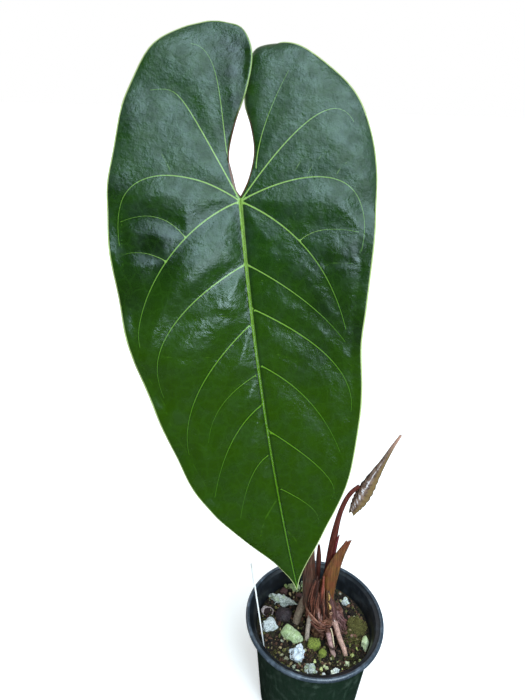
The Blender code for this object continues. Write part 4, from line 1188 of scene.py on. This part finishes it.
def make_strips(finish):
    """All strips and fibres in one piece, each with its own colour."""
    shapes = [(*strip_mesh(*strip), tone) for *strip, tone in PLACED_STRIPS]
    for count, *ranges, colours in STRIP_CROWDS:
        for _ in range(count):
            turn, level, turned, raised, width, off = (GENERATOR.uniform(*limits) for limits in ranges)
            shape = strip_mesh(turn, level, turn + turned, level + raised, width, off)
            shapes.append((*shape, str(GENERATOR.choice(colours))))
    ropes = [([on_crown(*place) for place in path], radius, tone) for path, radius, tone in ROPES]
    for path, radius, tone in (*PLACED_FIBRES, *ropes):
        shapes.append((*sweep(path, [radius] * (len(path) - 1) + [0.5 * radius], 8, 6)[:2], tone))
    for _ in range(RANDOM_FIBRES):
        turn, level = GENERATOR.uniform(-180, 180), GENERATOR.uniform(80, 114)
        bend, drop = GENERATOR.uniform(-40, 40), GENERATOR.uniform(-8, 8)
        path = [on_crown(turn + bend * t, level + drop * t, 0.2 + GENERATOR.uniform(0, 1.4))
                for t in (0, 0.35, 0.7, 1)]
        fibre = sweep(path, (0.25, 0.22, 0.16, 0.06), 5, 4)[:2]
        shapes.append((*fibre, str(GENERATOR.choice(FIBRE_COLOURS))))
    for _ in range(SHREDS):
        start, end = (place + GENERATOR.uniform(-1, 1, 3) * spread for place, spread in SHRED_ENDS)
        middle = (start + end) / 2 + GENERATOR.uniform(-1, 1, 3) * 2.2 + (0.6, 0, 1.0)
        tone = str(GENERATOR.choice(SHRED_COLOURS))
        shapes.append((*sweep((start, middle, end), (0.36, 0.3, 0.1), 5, 4)[:2], tone))
    tinted_piece("torn_strips_and_fibres", shapes, finish)


make_strips(tinted("dry_torn_sheath", 0.55, 0.9, 0.25, 0.45))


# %% [markdown]
# ## The nursery pot
# A thin pot of dark green polypropylene, moulded in one shot. Its rim is a rolled bead that catches the
# sky, and a step inside lets pots stack. It is a turned shape, so its profile is swept round by a Screw
# modifier, and the drain holes are cut with a Boolean. Its faces are sorted into three finishes: the
# green outside wall, the rim in blue-grey slate, which is painted sheen of the sky, and the inside in near
# black, which is painted shade.

# %% Shape the pot
RIM_RADIUS = 54.0
RIM_INNER_RADIUS = 50.9
POT_HEIGHT = 95.0
LIP_DEPTH = 3.2
WALL_TOP_RADIUS = 47.1
WALL_TOP_BELOW_RIM = 8.0
BASE_RADIUS = 40.0
WALL = 1.0
FLOOR = 1.6
DRAIN_COUNT = 8
DRAIN_RADIUS = 3.5
DRAIN_CIRCLE = 33.0
POT_STEPS = 160


def pot_profile():
    """The wall's outline, down its outer side and up its inner one."""
    bead = (RIM_RADIUS - RIM_INNER_RADIUS) / 2
    middle = RIM_INNER_RADIUS + bead
    top = POT_HEIGHT - bead
    wall_top = POT_HEIGHT - WALL_TOP_BELOW_RIM
    lip = POT_HEIGHT - LIP_DEPTH
    turns = np.radians(np.linspace(160, 0, 13))
    rim = [(middle + bead * math.cos(a), top + bead * math.sin(a)) for a in turns]
    outside = [
        (RIM_RADIUS, lip + 0.7), (RIM_RADIUS - 0.25, lip + 0.2), (RIM_RADIUS - 0.8, lip),
        (WALL_TOP_RADIUS + 2.2, lip), (WALL_TOP_RADIUS + 1.5, lip - 0.3),
        (WALL_TOP_RADIUS + 0.2, wall_top + 0.6), (WALL_TOP_RADIUS, wall_top - 0.4),
    ]
    flare = WALL_TOP_RADIUS - BASE_RADIUS
    wall = [(BASE_RADIUS + flare * t, wall_top * t) for t in np.linspace(0.98, 0.03, 24)]
    foot = [(BASE_RADIUS + 0.1, 1.0), (BASE_RADIUS - 0.3, 0.3), (BASE_RADIUS - 1.0, 0.0), (0, 0), (0, FLOOR)]
    inside_foot = [(BASE_RADIUS - WALL - 1.2, FLOOR), (BASE_RADIUS - WALL, FLOOR + 1.2)]
    inside_top = [
        (WALL_TOP_RADIUS - WALL, wall_top - 0.6), (WALL_TOP_RADIUS - WALL + 0.3, wall_top),
        (WALL_TOP_RADIUS + 0.9, lip + 0.7), (WALL_TOP_RADIUS + 1.4, lip + 1.1),
        (RIM_INNER_RADIUS - 0.3, lip + 1.7),
    ]
    return rim + outside + wall + foot + inside_foot + inside_top


def make_pot(*finishes):
    """The turned wall with drain holes cut in its floor, in three finishes: wall, rim and inside."""
    profile = pot_profile()
    edges = [(i, (i + 1) % len(profile)) for i in range(len(profile))]
    mesh = bpy.data.meshes.new("nursery_pot")
    mesh.from_pydata([(radius * MM, 0, z * MM) for radius, z in profile], edges, [])
    pot = placed("nursery_pot", mesh)
    modified(pot, "SCREW", steps=POT_STEPS, render_steps=POT_STEPS, use_merge_vertices=True,
             merge_threshold=0.01 * MM)
    holes = bmesh.new()
    size = DRAIN_RADIUS * MM
    for index in range(DRAIN_COUNT):
        angle = 2 * math.pi * (index + 0.5) / DRAIN_COUNT
        place = Vector((DRAIN_CIRCLE * math.cos(angle), DRAIN_CIRCLE * math.sin(angle), FLOOR / 2)) * MM
        bmesh.ops.create_cone(holes, cap_ends=True, segments=32, radius1=size, radius2=size,
                              depth=4 * FLOOR * MM, matrix=Matrix.Translation(place))
    mesh = bpy.data.meshes.new("drain_holes")
    holes.to_mesh(mesh)
    holes.free()
    cutter = placed("drain_holes", mesh)
    modified(pot, "BOOLEAN", operation="DIFFERENCE", object=cutter)
    bpy.data.objects.remove(cutter)
    pot.data.materials.clear()
    for finish in finishes:
        pot.data.materials.append(finish)
    for face in pot.data.polygons:
        outward = face.normal.x * face.center.x + face.normal.y * face.center.y > 0 or face.normal.z < -0.5
        radius = math.hypot(face.center.x, face.center.y)
        if outward and face.center.z < (POT_HEIGHT - LIP_DEPTH - 0.1) * MM:
            face.material_index = 0
        else:
            face.material_index = 1 if radius > (RIM_INNER_RADIUS + 0.2) * MM else 2
    pot.data.shade_smooth()
    pot.data.set_sharp_from_angle(angle=math.radians(50))
    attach(pot, "root")
    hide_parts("pot")
    print("pot", len(pot.data.polygons), "faces")


# %% [markdown]
# Polypropylene has an IOR of 1.49. A nursery pot comes from a worn mould, so its wall is slightly
# pebbled and dull, with faint upright drag lines and dust, and the handled rim is smoother. On the rim
# the pale dust colour is also painted sheen of the sky.

# %% Finish of the pot
def moulded_plastic(name, colour, dust_and_sheen_colour, roughness, grain_depth, gloss=0.0):
    """Polypropylene: even, slightly glossy, with fine pebbles, drag lines, dust and specks, on the rim
    painted sheen.
    """
    material, place, dust, drag, grain = new_finish(
        name, roughness, (), ((7, 6), (2.2, 3, 0.05), (0.9, 2)), IOR=1.49, Coat_Weight=gloss,
        Coat_Roughness=0.28)
    specks = add(material, "TexVoronoi", {"Vector": place, "Scale": cells(3.5)}, "Distance")
    body = painted(material, colour, ((dust, 0.5, 0.8, 0, 0.4), dust_and_sheen_colour),
                   ((drag, 0.55, 0.8, 0, 0.3), dust_and_sheen_colour), ((specks, 0.06, 0.12, 0.35, 0), dust_and_sheen_colour))
    dull = (dust, 0.3, 0.7, roughness - 0.06, roughness + 0.1)
    return finished(material, body, grain, 0.5, grain_depth, Roughness=dull)


# The wall's green is the plastic; the rim's slate and pale blue-grey are painted sky sheen, the inside's
# near black painted shade.
make_pot(moulded_plastic("green_polypropylene_wall", "152E1D", "4A6250", 0.5, 0.12),
         moulded_plastic("polypropylene_rim_with_painted_sky_sheen", "36414B", "96A6B6", 0.33, 0.15, 0.9),
         moulded_plastic("polypropylene_inside_with_painted_shade", "12171C", "3A454E", 0.44, 0.12, 0.3))


# %% [markdown]
# ## The potting mix
# The mix is fine peat and bark crumbs between the larger stones, dark where wet and filmed green with
# moss where light reaches it. Its surface is rings of points raised by noise of three sizes. A plain
# bump map would look painted so near the camera, so the crumbs above 1 mm are real.

# %% Shape the mix
MIX_BUMP = 1.3
MIX_GRAIN = 9.0
GAP = 0.35
MIX_SPOKES = 220
MIX_RINGS = 58


def mix_height(x, y):
    """How far the mix stands over its mean level, the same as on the solid."""
    place = Vector((x, y, 0)) / MIX_GRAIN
    return MIX_BUMP * (noise.noise(place) + 0.6 * noise.noise(place * 2.3 + Vector((7, 3, 1))))


def make_mix(finish):
    """Rings of crumbly ground out to the wall, closed below. Returns the radius of its top."""
    slope = (WALL_TOP_RADIUS - BASE_RADIUS) / (POT_HEIGHT - WALL_TOP_BELOW_RIM)
    top_radius = BASE_RADIUS - WALL - GAP + slope * MIX_LEVEL
    foot_radius = BASE_RADIUS - WALL - GAP - 1.0
    angles = np.linspace(0, 2 * np.pi, MIX_SPOKES, endpoint=False)
    points = []
    for radius in np.linspace(0.4, top_radius, MIX_RINGS):
        level = smoothstep(top_radius, top_radius - 1.5, radius)
        for angle in angles:
            x, y = radius * math.cos(angle), radius * math.sin(angle)
            place = Vector((x, y, 0))
            crumbs = abs(noise.noise(place / 3.4)) * 1.5
            crumbs += abs(noise.noise(place / 1.7 + Vector((9, 9, 9)))) * 0.8
            points.append((x, y, MIX_LEVEL + level * (mix_height(x, y) + crumbs - 0.6)))
    for radius, level in ((foot_radius + 0.8, FLOOR + 3), (foot_radius, FLOOR + GAP), (0.4, FLOOR + GAP)):
        points += [(radius * math.cos(angle), radius * math.sin(angle), level) for angle in angles]
    faces = capped_rings(MIX_RINGS + 3, MIX_SPOKES)
    new_piece("bark_mix", points, faces, [finish], ["potting_mix"])
    print("mix", len(faces), "faces, top radius", round(top_radius, 2))
    return top_radius


def damp_mix():
    """Damp peat and bark fines: near black, brown in places, with an olive film of moss."""
    material, place, coarse, fine = new_finish(
        "damp_peat_and_bark_fines", 0.9, (), ((11, 3), (1.5, 5)), IOR=1.4)
    flecks = add(material, "TexVoronoi", {"Vector": place, "Scale": cells(2.6)}, "Distance")
    body = painted(material, "120E0A", ((fine, 0.4, 0.62), "33261A"),
                   ((coarse, 0.48, 0.62, 0, 0.6), "3A3B1C"), ((flecks, 0.12, 0.2, 0.5, 0), "6A6038"))
    return finished(material, body, fine, 0.9, 0.6)


mix_radius = make_mix(damp_mix())


# %% [markdown]
# ## Crumbs on the mix
# Bark crumbs, perlite bits and fibre ends lie loose on top. Hundreds of small lumps would be slow as
# objects, so all are one mesh, each lump a small ball pushed out of shape, with its own tint. The pale
# bits that catch the eye are listed one by one.

# %% Scatter the crumbs
# Pale bits that show: place in plan and size in millimetres, and colour
PALE_BITS = (
    (7.3, -32.9, 1.5, "C9CE9A"), (14.5, -34.9, 2.2, "E4E8E0"), (23.3, -30.0, 2.6, "DDE3B6"),
    (3.4, -34.5, 1.3, "D6DA8E"), (-0.6, -28.5, 1.3, "D3D88C"), (4.4, -39.6, 1.8, "F0F2EA"),
    (12.1, -38.2, 2.2, "E9ECD4"), (19.0, -34.8, 1.3, "C7CE7A"), (-25.1, -12.2, 1.6, "9A9C86"),
    (-36.4, -20.0, 1.6, "BDC46A"), (-16.5, -32.9, 2.0, "A9B096"), (-14.4, -37.4, 1.8, "C0C69A"),
    (-11.9, -30.2, 1.3, "B8BE8C"), (37.7, 10.4, 1.5, "B4C07C"), (27.7, -14.6, 1.2, "C2C96C"),
    (32.8, -16.9, 1.2, "BCC46C"), (12.6, -18.4, 1.0, "F2F2EC"), (20.2, 38.2, 2.2, "8E8C7C"),
    (20.7, -2.0, 1.0, "F0EEE8"), (28.1, -22.8, 1.3, "BFC67A"), (21.2, -10.6, 1.0, "B9BC80"),
    (33.6, -26.6, 1.2, "C8CE8A"), (29.5, -29.1, 1.4, "B2B97C"), (-22.3, -26.8, 1.4, "8C8A70"),
    (-29.1, -24.7, 1.5, "85865C"), (-5.2, 42.0, 2.8, "B7C6A6"), (-16.6, 38.4, 2.6, "9BA878"),
    (-20.6, 38.6, 2.2, "8C9A5E"), (-5.6, 33.6, 2.0, "A5AE6C"), (16.5, -28.0, 1.1, "A7AC6A"),
    (9.4, -36.4, 1.1, "BEC46E"), (26.0, 33.0, 1.2, "A09C8A"),
)
CRUMB_SHARES = {  # how many of the crumbs have each colour
    "16100C": 0.2, "241A12": 0.16, "3A2A1D": 0.16, "54392A": 0.13, "6E4F3A": 0.07, "2B2B16": 0.08,
    "56552A": 0.09, "7E7644": 0.06, "9A8862": 0.03, "A5A07A": 0.02,
}
CRUMB_COUNT = 2200
CRUMB_UNEVENNESS = 0.9
DEBRIS_PLACE = (27.0, 1.0)  # where reddish shreds lie between the crumbs
DEBRIS_SPREAD = 9.0
DEBRIS_COLOURS = ("7A4A42", "8E6258", "5A332C", "A07A6C")


def ball(level):
    """Points and faces of a ball of triangles."""
    shape = bmesh.new()
    bmesh.ops.create_icosphere(shape, subdivisions=level, radius=1)
    points = np.array([vertex.co[:] for vertex in shape.verts])
    faces = np.array([[vertex.index for vertex in face.verts] for face in shape.faces])
    shape.free()
    return points, faces


def random_turn():
    """A turn about a random axis."""
    return np.array(Matrix.Rotation(GENERATOR.uniform(0, 6.28), 3, Vector(GENERATOR.normal(size=3))))


def lump(points, sizes, place):
    """The ball pushed out of shape, sized, turned and moved to its place."""
    seed = Vector(GENERATOR.uniform(0, 50, 3))
    push = np.array([1 + CRUMB_UNEVENNESS * noise.noise(Vector(point) * 1.7 + seed) for point in points])
    return (points * push[:, None] * sizes) @ random_turn().T + place


def make_crumbs(finish):
    """Loose bits on the mix: the pale ones at their places, the others wherever they fall."""
    coarse, fine = ball(1), ball(2)
    bits = [(*bit, fine) for bit in PALE_BITS]
    for _ in range(CRUMB_COUNT):
        radius, turn = (mix_radius - 1.6) * math.sqrt(GENERATOR.uniform()), GENERATOR.uniform(0, 2 * math.pi)
        size = 0.45 + 1.35 * GENERATOR.uniform() ** 2.2
        x, y = radius * math.cos(turn), radius * math.sin(turn)
        colour = GENERATOR.choice(list(CRUMB_SHARES), p=list(CRUMB_SHARES.values()))
        if GENERATOR.uniform() < 0.8 * math.exp(-((math.dist((x, y), DEBRIS_PLACE) / DEBRIS_SPREAD) ** 2)):
            colour = GENERATOR.choice(DEBRIS_COLOURS)
        bits.append((x, y, size, str(colour), coarse))
    shapes = []
    for x, y, size, colour, (points, faces) in bits:
        sizes = size * GENERATOR.uniform(0.6, 1.15, 3)
        place = (x, y, MIX_LEVEL + mix_height(x, y) + 0.35 * size)
        shapes.append((lump(points, sizes, place), faces, colour))
    crumbs = tinted_piece("mix_crumbs", shapes, finish)
    crumbs.data.set_sharp_from_angle(angle=math.radians(35))


make_crumbs(tinted("bark_and_perlite_crumbs", 0.9, 0.8, 0.3))


# %% [markdown]
# ## Pumice, bark and stones
# Pumice is frozen volcanic foam: light, pitted all over, and broken into blunt facets. Bark nuggets are
# smoother and nearly black when damp. Each solid serves as the cage: it is subdivided to a smooth form,
# cut by a few random planes into facets, and pitted with noise, so it stays where the solid lies.

# %% Refine a solid
STONE_LEVELS = 4


def read_faces(mesh):
    """The mesh's faces as tuples of their points' numbers."""
    return [tuple(face.vertices) for face in mesh.polygons]


def refined(node):
    """Points and faces, in millimetres, of a solid's smooth subdivided form."""
    shape = bmesh.new()
    shape.from_mesh(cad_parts[node].data)
    bmesh.ops.remove_doubles(shape, verts=shape.verts, dist=0.01 * MM)
    mesh = bpy.data.meshes.new(node + "_cage")
    shape.to_mesh(mesh)
    shape.free()
    cage = placed(node + "_cage", mesh)
    modified(cage, "SUBSURF", levels=STONE_LEVELS, render_levels=STONE_LEVELS)
    points, faces = read_points(cage.data), read_faces(cage.data)
    bpy.data.objects.remove(cage)
    return points, faces


def make_stone(node, finish, slot, facets=10, cut=0.78, pits=0.35, pit_size=1.6, lumps=0.5, hollow=None,
               jagged=0.0, seed=0):
    """A stone over its solid: facets cut into it, then lumps, spurs and pits."""
    points, faces = refined(node)
    low, high = (np.array(corner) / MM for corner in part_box(node))
    centre, half = (low + high) / 2, (high - low) / 2
    local = (points - centre) / half * 1.06
    draw = np.random.default_rng(len(node) * 7 + seed)
    for _ in range(facets):
        normal = draw.normal(size=3)
        normal /= np.linalg.norm(normal)
        over = np.maximum(local @ normal - cut * draw.uniform(0.9, 1.12), 0)
        local -= normal * (0.85 * over)[:, None]
    spurs = rough(local, 0.55, seed + 11.0)
    local = local * (1 + jagged * (1.2 * spurs - 0.4 * np.abs(spurs)))[:, None]
    depth = np.zeros(len(local))
    if hollow is not None:
        axis = np.array(hollow) / np.linalg.norm(hollow)
        toward = local @ axis / np.linalg.norm(local, axis=1)
        depth = smoothstep(0.42, 0.8, toward)
        local = local - axis * (1.15 * depth)[:, None] * 0.8
    points = centre + local * half
    away = unit(local)
    bumps = lumps * rough(points, 3.0, seed + 1.0)
    holes = np.maximum(rough(points, pit_size, seed + 4.0) - 0.12, 0)
    holes += 0.5 * np.maximum(rough(points, pit_size / 2, seed + 7.0), 0)
    points = points + away * (bumps - pits * holes * (1 - depth))[:, None]
    reach = points.max(axis=0) - points.min(axis=0)
    points = centre + (points - (points.max(axis=0) + points.min(axis=0)) / 2) * (high - low) / reach
    stone = new_piece(f"{node}_stone", points, faces, [finish], [node])
    # The pit and hollow values carry where the finish paints shade.
    write_values(stone.data, "pit", holes)
    write_values(stone.data, "hollow", depth)


# %% Finish of the stones
def pitted_stone(name, high, low, stain, stain_share, roughness=0.88):
    """Pale foam of stone: painted shade in its pits and hollow, stained in patches by algae or tannin."""
    material, _, pit, hollow, grain, patch = new_finish(
        name, roughness, ("pit", "hollow"), ((0.9, 4), (6, 4)), IOR=1.5)
    stained = (patch, 0.62 - 0.35 * stain_share, 0.72 - 0.2 * stain_share, 0, 0.9)
    # Pits turn to the low colour and the hollow to 2A1814: painted shade.
    body = painted(material, low, ((grain, 0.35, 0.65), high), (stained, stain),
                   ((pit, 0.1, 0.6, 0, 0.75), low), ((hollow, 0.3, 0.8), "2A1814"))
    return finished(material, body, grain, 0.8, 0.4)


FINISHES = {
    "grey": pitted_stone("grey_pumice", "D2D8D0", "848E84", "A9BA8C", 0.35),
    "white": pitted_stone("white_pumice", "E8EEEC", "A8B0AC", "C9D4B0", 0.25),
    "bright": pitted_stone("fresh_white_pumice", "F2F6F8", "AEBCC4", "DCE6EA", 0.2),
    "green": pitted_stone("algae_green_pumice", "CFDDB4", "8C9C6C", "A9BE84", 0.5),
    "pale": pitted_stone("pale_algae_pumice", "E8F2C8", "AEBE90", "C8DA9E", 0.5),
    "pink": pitted_stone("pink_shell_chip", "DCD0CC", "94807C", "B9A8A2", 0.4),
    "mossy": pitted_stone("moss_covered_stone", "98A446", "4E5824", "808C38", 0.6, 0.95),
    "bark": pitted_stone("damp_bark_nugget", "43363A", "211A1A", "382B28", 0.4, 0.7),
    "red_bark": pitted_stone("red_bark_chip", "71504A", "3A2624", "5C3C36", 0.4, 0.75),
}
STONES = {
    "pumice_grey_long": ("grey", "pumice_grey", dict(facets=6, cut=0.84, lumps=1.3, jagged=0.3, seed=3)),
    "bark_round": ("bark", "bark", dict(facets=9, cut=0.84, pits=0.15, lumps=0.35)),
    "shell_chip": ("pink", "pumice_pink", dict(facets=5, cut=0.85, hollow=(0.35, -0.55, 0.75))),
    "pumice_white": ("white", "pumice_white", dict(facets=12, cut=0.74, lumps=0.9, jagged=0.2)),
    "pumice_green_long": ("green", "pumice_green", dict(facets=9, cut=0.8, lumps=0.7)),
    "mossy_stone_large": ("mossy", "mossy_stone", dict(facets=4, cut=0.9, pits=0.2, lumps=0.4)),
    "mossy_stone_small": ("mossy", "mossy_stone", dict(facets=4, cut=0.9, pits=0.2, lumps=0.4)),
    "pumice_crumpled": ("bright", "pumice_white",
                        dict(facets=16, cut=0.72, pits=0.9, pit_size=2.6, lumps=1.2, jagged=0.45)),
    "pumice_flake": ("grey", "pumice_white", dict(facets=12, cut=0.6, lumps=0.4, jagged=0.5, seed=2)),
    "perlite_chip": ("white", "pumice_white", dict(facets=14, cut=0.62, jagged=0.3)),
    "pumice_by_wall": ("pale", "pumice_green", dict(facets=9, cut=0.78)),
    "bark_back": ("red_bark", "bark", dict(facets=14, cut=0.7, pits=0.2, lumps=0.2)),
    "mossy_pumice_back": ("green", "mossy_stone", dict(facets=9, cut=0.8)),
    "pumice_back": ("green", "pumice_green", dict(facets=10, cut=0.76, seed=2)),
    "wood_chip": ("red_bark", "bark", dict(facets=12, cut=0.72, pits=0.2, lumps=0.3)),
}
for node, (finish, slot, shape) in STONES.items():
    make_stone(node, FINISHES[finish], slot, **shape)
print(len(STONES), "stones and chips")


# %% [markdown]
# ## Moss
# Moss is a cushion of upright shoots under a millimetre apart. From a step away it reads as a soft
# olive pile, so the mound is a lumpy body with short three-sided shoots all over, and thinner patches
# of the same shoots lie on the mossy stones and the mix.

# %% Grow the moss
MOSS_COLOURS = ("4A4222", "6A6230", "7E7A3C", "8E8A48", "3E3018")
STONE_MOSS_COLOURS = ("7E8C30", "96A040", "66722A", "A8AE58", "4E5820")
# Thin patches on the mix: place in plan, spread and number of shoots
MOSS_PATCHES = (
    (-24.0, -32.0, 6.0, 130), (30.0, -14.0, 7.0, 260), (27.0, -25.0, 6.0, 150), (-31.0, -23.0, 5.0, 90),
    (-3.0, -24.5, 4.0, 80), (24.0, -35.0, 4.0, 70), (10.0, -31.0, 5.0, 60), (31.0, -8.0, 8.5, 800),
)
# Cushions on the pieces: how many shoots, how high they are, and their colours
CUSHIONS = {
    "moss_clump": (1700, 0.9, MOSS_COLOURS),
    "mossy_stone_large": (500, 0.4, STONE_MOSS_COLOURS),
    "mossy_stone_small": (260, 0.35, STONE_MOSS_COLOURS),
}
PATCH_LIFT = 1.2
PATCH_SHOOT = 0.9
SHOOT_RADIUS = 0.2
SHOOT_FOOT = (0, 2.09, 4.19)  # turns of its three corners
SHOOT_FACES = ((0, 1, 3), (1, 2, 3), (2, 0, 3), (2, 1, 0))


def shoot(place, normal, height):
    """Points of a three-sided shoot that leans a little off the way its surface faces."""
    tip = np.array(normal) + GENERATOR.normal(size=3) * 0.35
    tip /= np.linalg.norm(tip)
    side = np.cross(tip, GENERATOR.normal(size=3))
    side /= np.linalg.norm(side)
    other = np.cross(tip, side)
    around = [math.cos(turn) * side + math.sin(turn) * other for turn in SHOOT_FOOT]
    return np.array([*(place - 0.25 * tip + SHOOT_RADIUS * way for way in around), place + tip * height])


def surface_spots(points, faces, count):
    """Random places on the upper side of a mesh, with the directions that they face."""
    corners = np.array([points[list(face)[:3]] for face in faces])
    normals = np.cross(corners[:, 1] - corners[:, 0], corners[:, 2] - corners[:, 0])
    area = np.linalg.norm(normals, axis=1)
    normals /= area[:, None]
    weight = area * (normals[:, 2] > -0.1)
    chosen = GENERATOR.choice(len(faces), count, p=weight / weight.sum())
    return corners[chosen].mean(axis=1) + GENERATOR.normal(size=(count, 3)) * 0.15, normals[chosen]


def make_moss(mound_finish, shoot_finish):
    """The mound, and one piece of shoots on it, on the mossy stones and on the mix."""
    make_stone("moss_clump", mound_finish, "moss", facets=2, cut=0.95, pits=0.5, pit_size=1.6, lumps=1.3)
    places, normals, sizes, tones = [], [], [], []
    for node, (count, height, colours) in CUSHIONS.items():
        tones += list(GENERATOR.choice(colours, count))
        mesh = bpy.data.objects[node + "_stone"].data
        spots, facing = surface_spots(read_points(mesh), read_faces(mesh), count)
        places += list(spots)
        normals += list(facing)
        sizes += list(height * GENERATOR.uniform(0.6, 1.3, count))
    for x, y, spread, count in MOSS_PATCHES:
        spots = GENERATOR.normal(size=(count, 2)) * spread * 0.5 + (x, y)
        spots = spots[np.hypot(*spots.T) < mix_radius - 1.5]
        places += [np.array((*spot, MIX_LEVEL + mix_height(*spot) + PATCH_LIFT)) for spot in spots]
        normals += [(0, 0, 1.0)] * len(spots)
        sizes += list(PATCH_SHOOT * GENERATOR.uniform(0.6, 1.4, len(spots)))
        tones += list(GENERATOR.choice(MOSS_COLOURS, len(spots)))
    shapes = [(shoot(*spot), SHOOT_FACES, str(tone)) for *spot, tone in zip(places, normals, sizes, tones)]
    tinted_piece("moss_shoots", shapes, shoot_finish)


cushion = pitted_stone("moss_cushion", "6E6A34", "3A3318", "5A5628", 0.5, 0.95)
make_moss(cushion, tinted("moss_shoots", 0.9, 1.0, 0.1))


# %% [markdown]
# ## The label
# A blank white polystyrene plant label is pushed in beside the wall, almost edge on to the viewer. Its
# strip is 0.8 mm thick with a rounded top, and twists slightly, as these thin strips do.

# %% Shape the label
LABEL_WIDTH = 12.0
LABEL_LENGTH = 106.0
LABEL_THICKNESS = 0.8
LABEL_FOOT = (-39.2, -16.0, 78.0)
LABEL_SUNK = 20.0
LABEL_LEAN = math.radians(-7.5)
LABEL_TURN = math.radians(9.5)
LABEL_TWIST = math.radians(4)


def make_label(finish):
    """The strip, rounded at its top and slightly twisted, turned into its place."""
    up = np.linspace(0, 1, 54)[:, None]
    half = (LABEL_WIDTH / 2 - 0.2) * np.sqrt(np.clip((1.0 - up) * LABEL_LENGTH / 5.0, 0.16, 1))
    twist = LABEL_TWIST * (0.5 - up)
    y = half * np.linspace(-1, 1, 9)
    points = np.dstack([y * np.sin(twist), y * np.cos(twist), up * LABEL_LENGTH - LABEL_SUNK + 0 * y])
    turn = np.array(Matrix.Rotation(LABEL_TURN, 3, "Z") @ Matrix.Rotation(LABEL_LEAN, 3, "Y"))
    points = points.reshape(-1, 3) @ turn.T + LABEL_FOOT
    label = new_piece("blank_label", points, grid_faces(*y.shape), [finish], ["plant_label"])
    modified(label, "SOLIDIFY", thickness=LABEL_THICKNESS * MM, offset=0)
    label.data.set_sharp_from_angle(angle=math.radians(50))
    print("label", len(label.data.polygons), "faces")


def label_plastic():
    """White polystyrene, slightly yellowed, with a little soil dust at its foot."""
    material, place, dust = new_finish("white_polystyrene_strip", 0.4, (), ((4, 4),), IOR=1.59)
    level = add(material, "SeparateXYZ", {0: place}, "Z")
    dirt = add(material, "Math", {0: dust, 1: (level, 0.079, 0.1, 0.6, 0)}, operation="MULTIPLY")
    return finished(material, painted(material, "F4F6F4", (dirt, "8C8468")))


make_label(label_plastic())


# %% [markdown]
# ## Floor, light and camera
# The plant stands on a plain pale floor under one large soft disc of light, high in front and a little
# to the right, as under an open sky. A sun lamp with a wide angle is such a disc, and lights the whole
# floor evenly. The waxy leaf mirrors it as a broad sheen where the leaf faces up. A smaller, lower disc
# further to the right gives the sheen on the left half beside the midrib. The pale room and the floor
# light the plant but aren't mirrored, so the lower blade keeps its full green. A weak light from behind
# keeps the back readable. The camera looks 25 degrees down from 0.46 m up, like a phone held close.

# %% Floor
FLOOR_REACH = 40  # metres
floor_mesh = bpy.data.meshes.new("floor")
corners = [(x * FLOOR_REACH, y * FLOOR_REACH, 0) for x, y in ((-1, -1), (1, -1), (1, 1), (-1, 1))]
floor_mesh.from_pydata(corners, [], [(0, 1, 2, 3)])
floor_finish = bpy.data.materials.new("pale_studio_floor")
floor_finish.use_nodes = True
plain = {"Roughness": 0.9, "Base Color": "FFFCF6", "Emission Color": "FFFFFF", "Emission Strength": 0.2}
feed_surface(floor_finish, plain)
floor_mesh.materials.append(floor_finish)
floor = placed("floor", floor_mesh)
floor.visible_glossy = False


# %% Lights
def soft_disc(name, toward, angle, strength, colour):
    """A lamp as wide as this angle of the sky, seen in this direction."""
    light = bpy.data.lights.new(name, "SUN")
    light.angle = math.radians(angle)
    light.energy = strength
    light.color = linear(colour)[:3]
    placed(name, light).rotation_euler = Vector(toward).to_track_quat("Z", "Y").to_euler()


soft_disc("open_sky", (0.17, -0.37, 0.91), 50, 3.4, "D6EAFA")
soft_disc("low_sky", (0.4, -0.77, 0.5), 21, 1.15, "DFEEFC")
soft_disc("back_fill", (-0.5, 0.75, 0.6), 60, 0.5, "FFFFFF")

world = bpy.data.worlds.new("studio")
world.use_nodes = True
bpy.context.scene.world = world
world.node_tree.nodes.clear()
straight = add(world, "LightPath", {}, "Is Camera Ray")
room = add(world, "Background", {"Color": (0.92, 0.96, 1, 1), "Strength": 0.43})
seen = add(world, "Background", {"Color": (1, 1, 1, 1), "Strength": 1.0})
chosen = add(world, "MixShader", {0: straight, 1: room, 2: seen})
feed(world, world.node_tree.nodes.new("ShaderNodeOutputWorld").inputs["Surface"], chosen)
world.cycles_visibility.glossy = False
bpy.context.scene.view_settings.view_transform = "Standard"
print("three soft discs of light and a pale room")

# %% Camera
PICTURE_LONG_SIDE = 700
FOCAL_PIXELS = 526
SENSOR = 36
CAMERA_PLACE = Vector((-0.0474, -0.2884, 0.4576))
CAMERA_PITCH = math.radians(25.08)
CAMERA_ROLL = math.radians(1.8)
camera_data = bpy.data.cameras.new("camera")
camera_data.sensor_width = SENSOR
camera_data.lens = SENSOR * FOCAL_PIXELS / PICTURE_LONG_SIDE
camera_data.clip_start = 0.01
camera = placed("camera", camera_data)
ahead = Vector((0, math.cos(CAMERA_PITCH), -math.sin(CAMERA_PITCH)))
level = Vector((1, 0, 0))
above = level.cross(ahead)
right = level * math.cos(CAMERA_ROLL) + above * math.sin(CAMERA_ROLL)
above = above * math.cos(CAMERA_ROLL) - level * math.sin(CAMERA_ROLL)
camera.matrix_world = Matrix.Translation(CAMERA_PLACE) @ Matrix((right, above, -ahead)).transposed().to_4x4()
bpy.context.scene.camera = camera
print("lens", round(camera_data.lens, 2), "mm")

# %% Bring the scene up to date
bpy.context.view_layer.update()
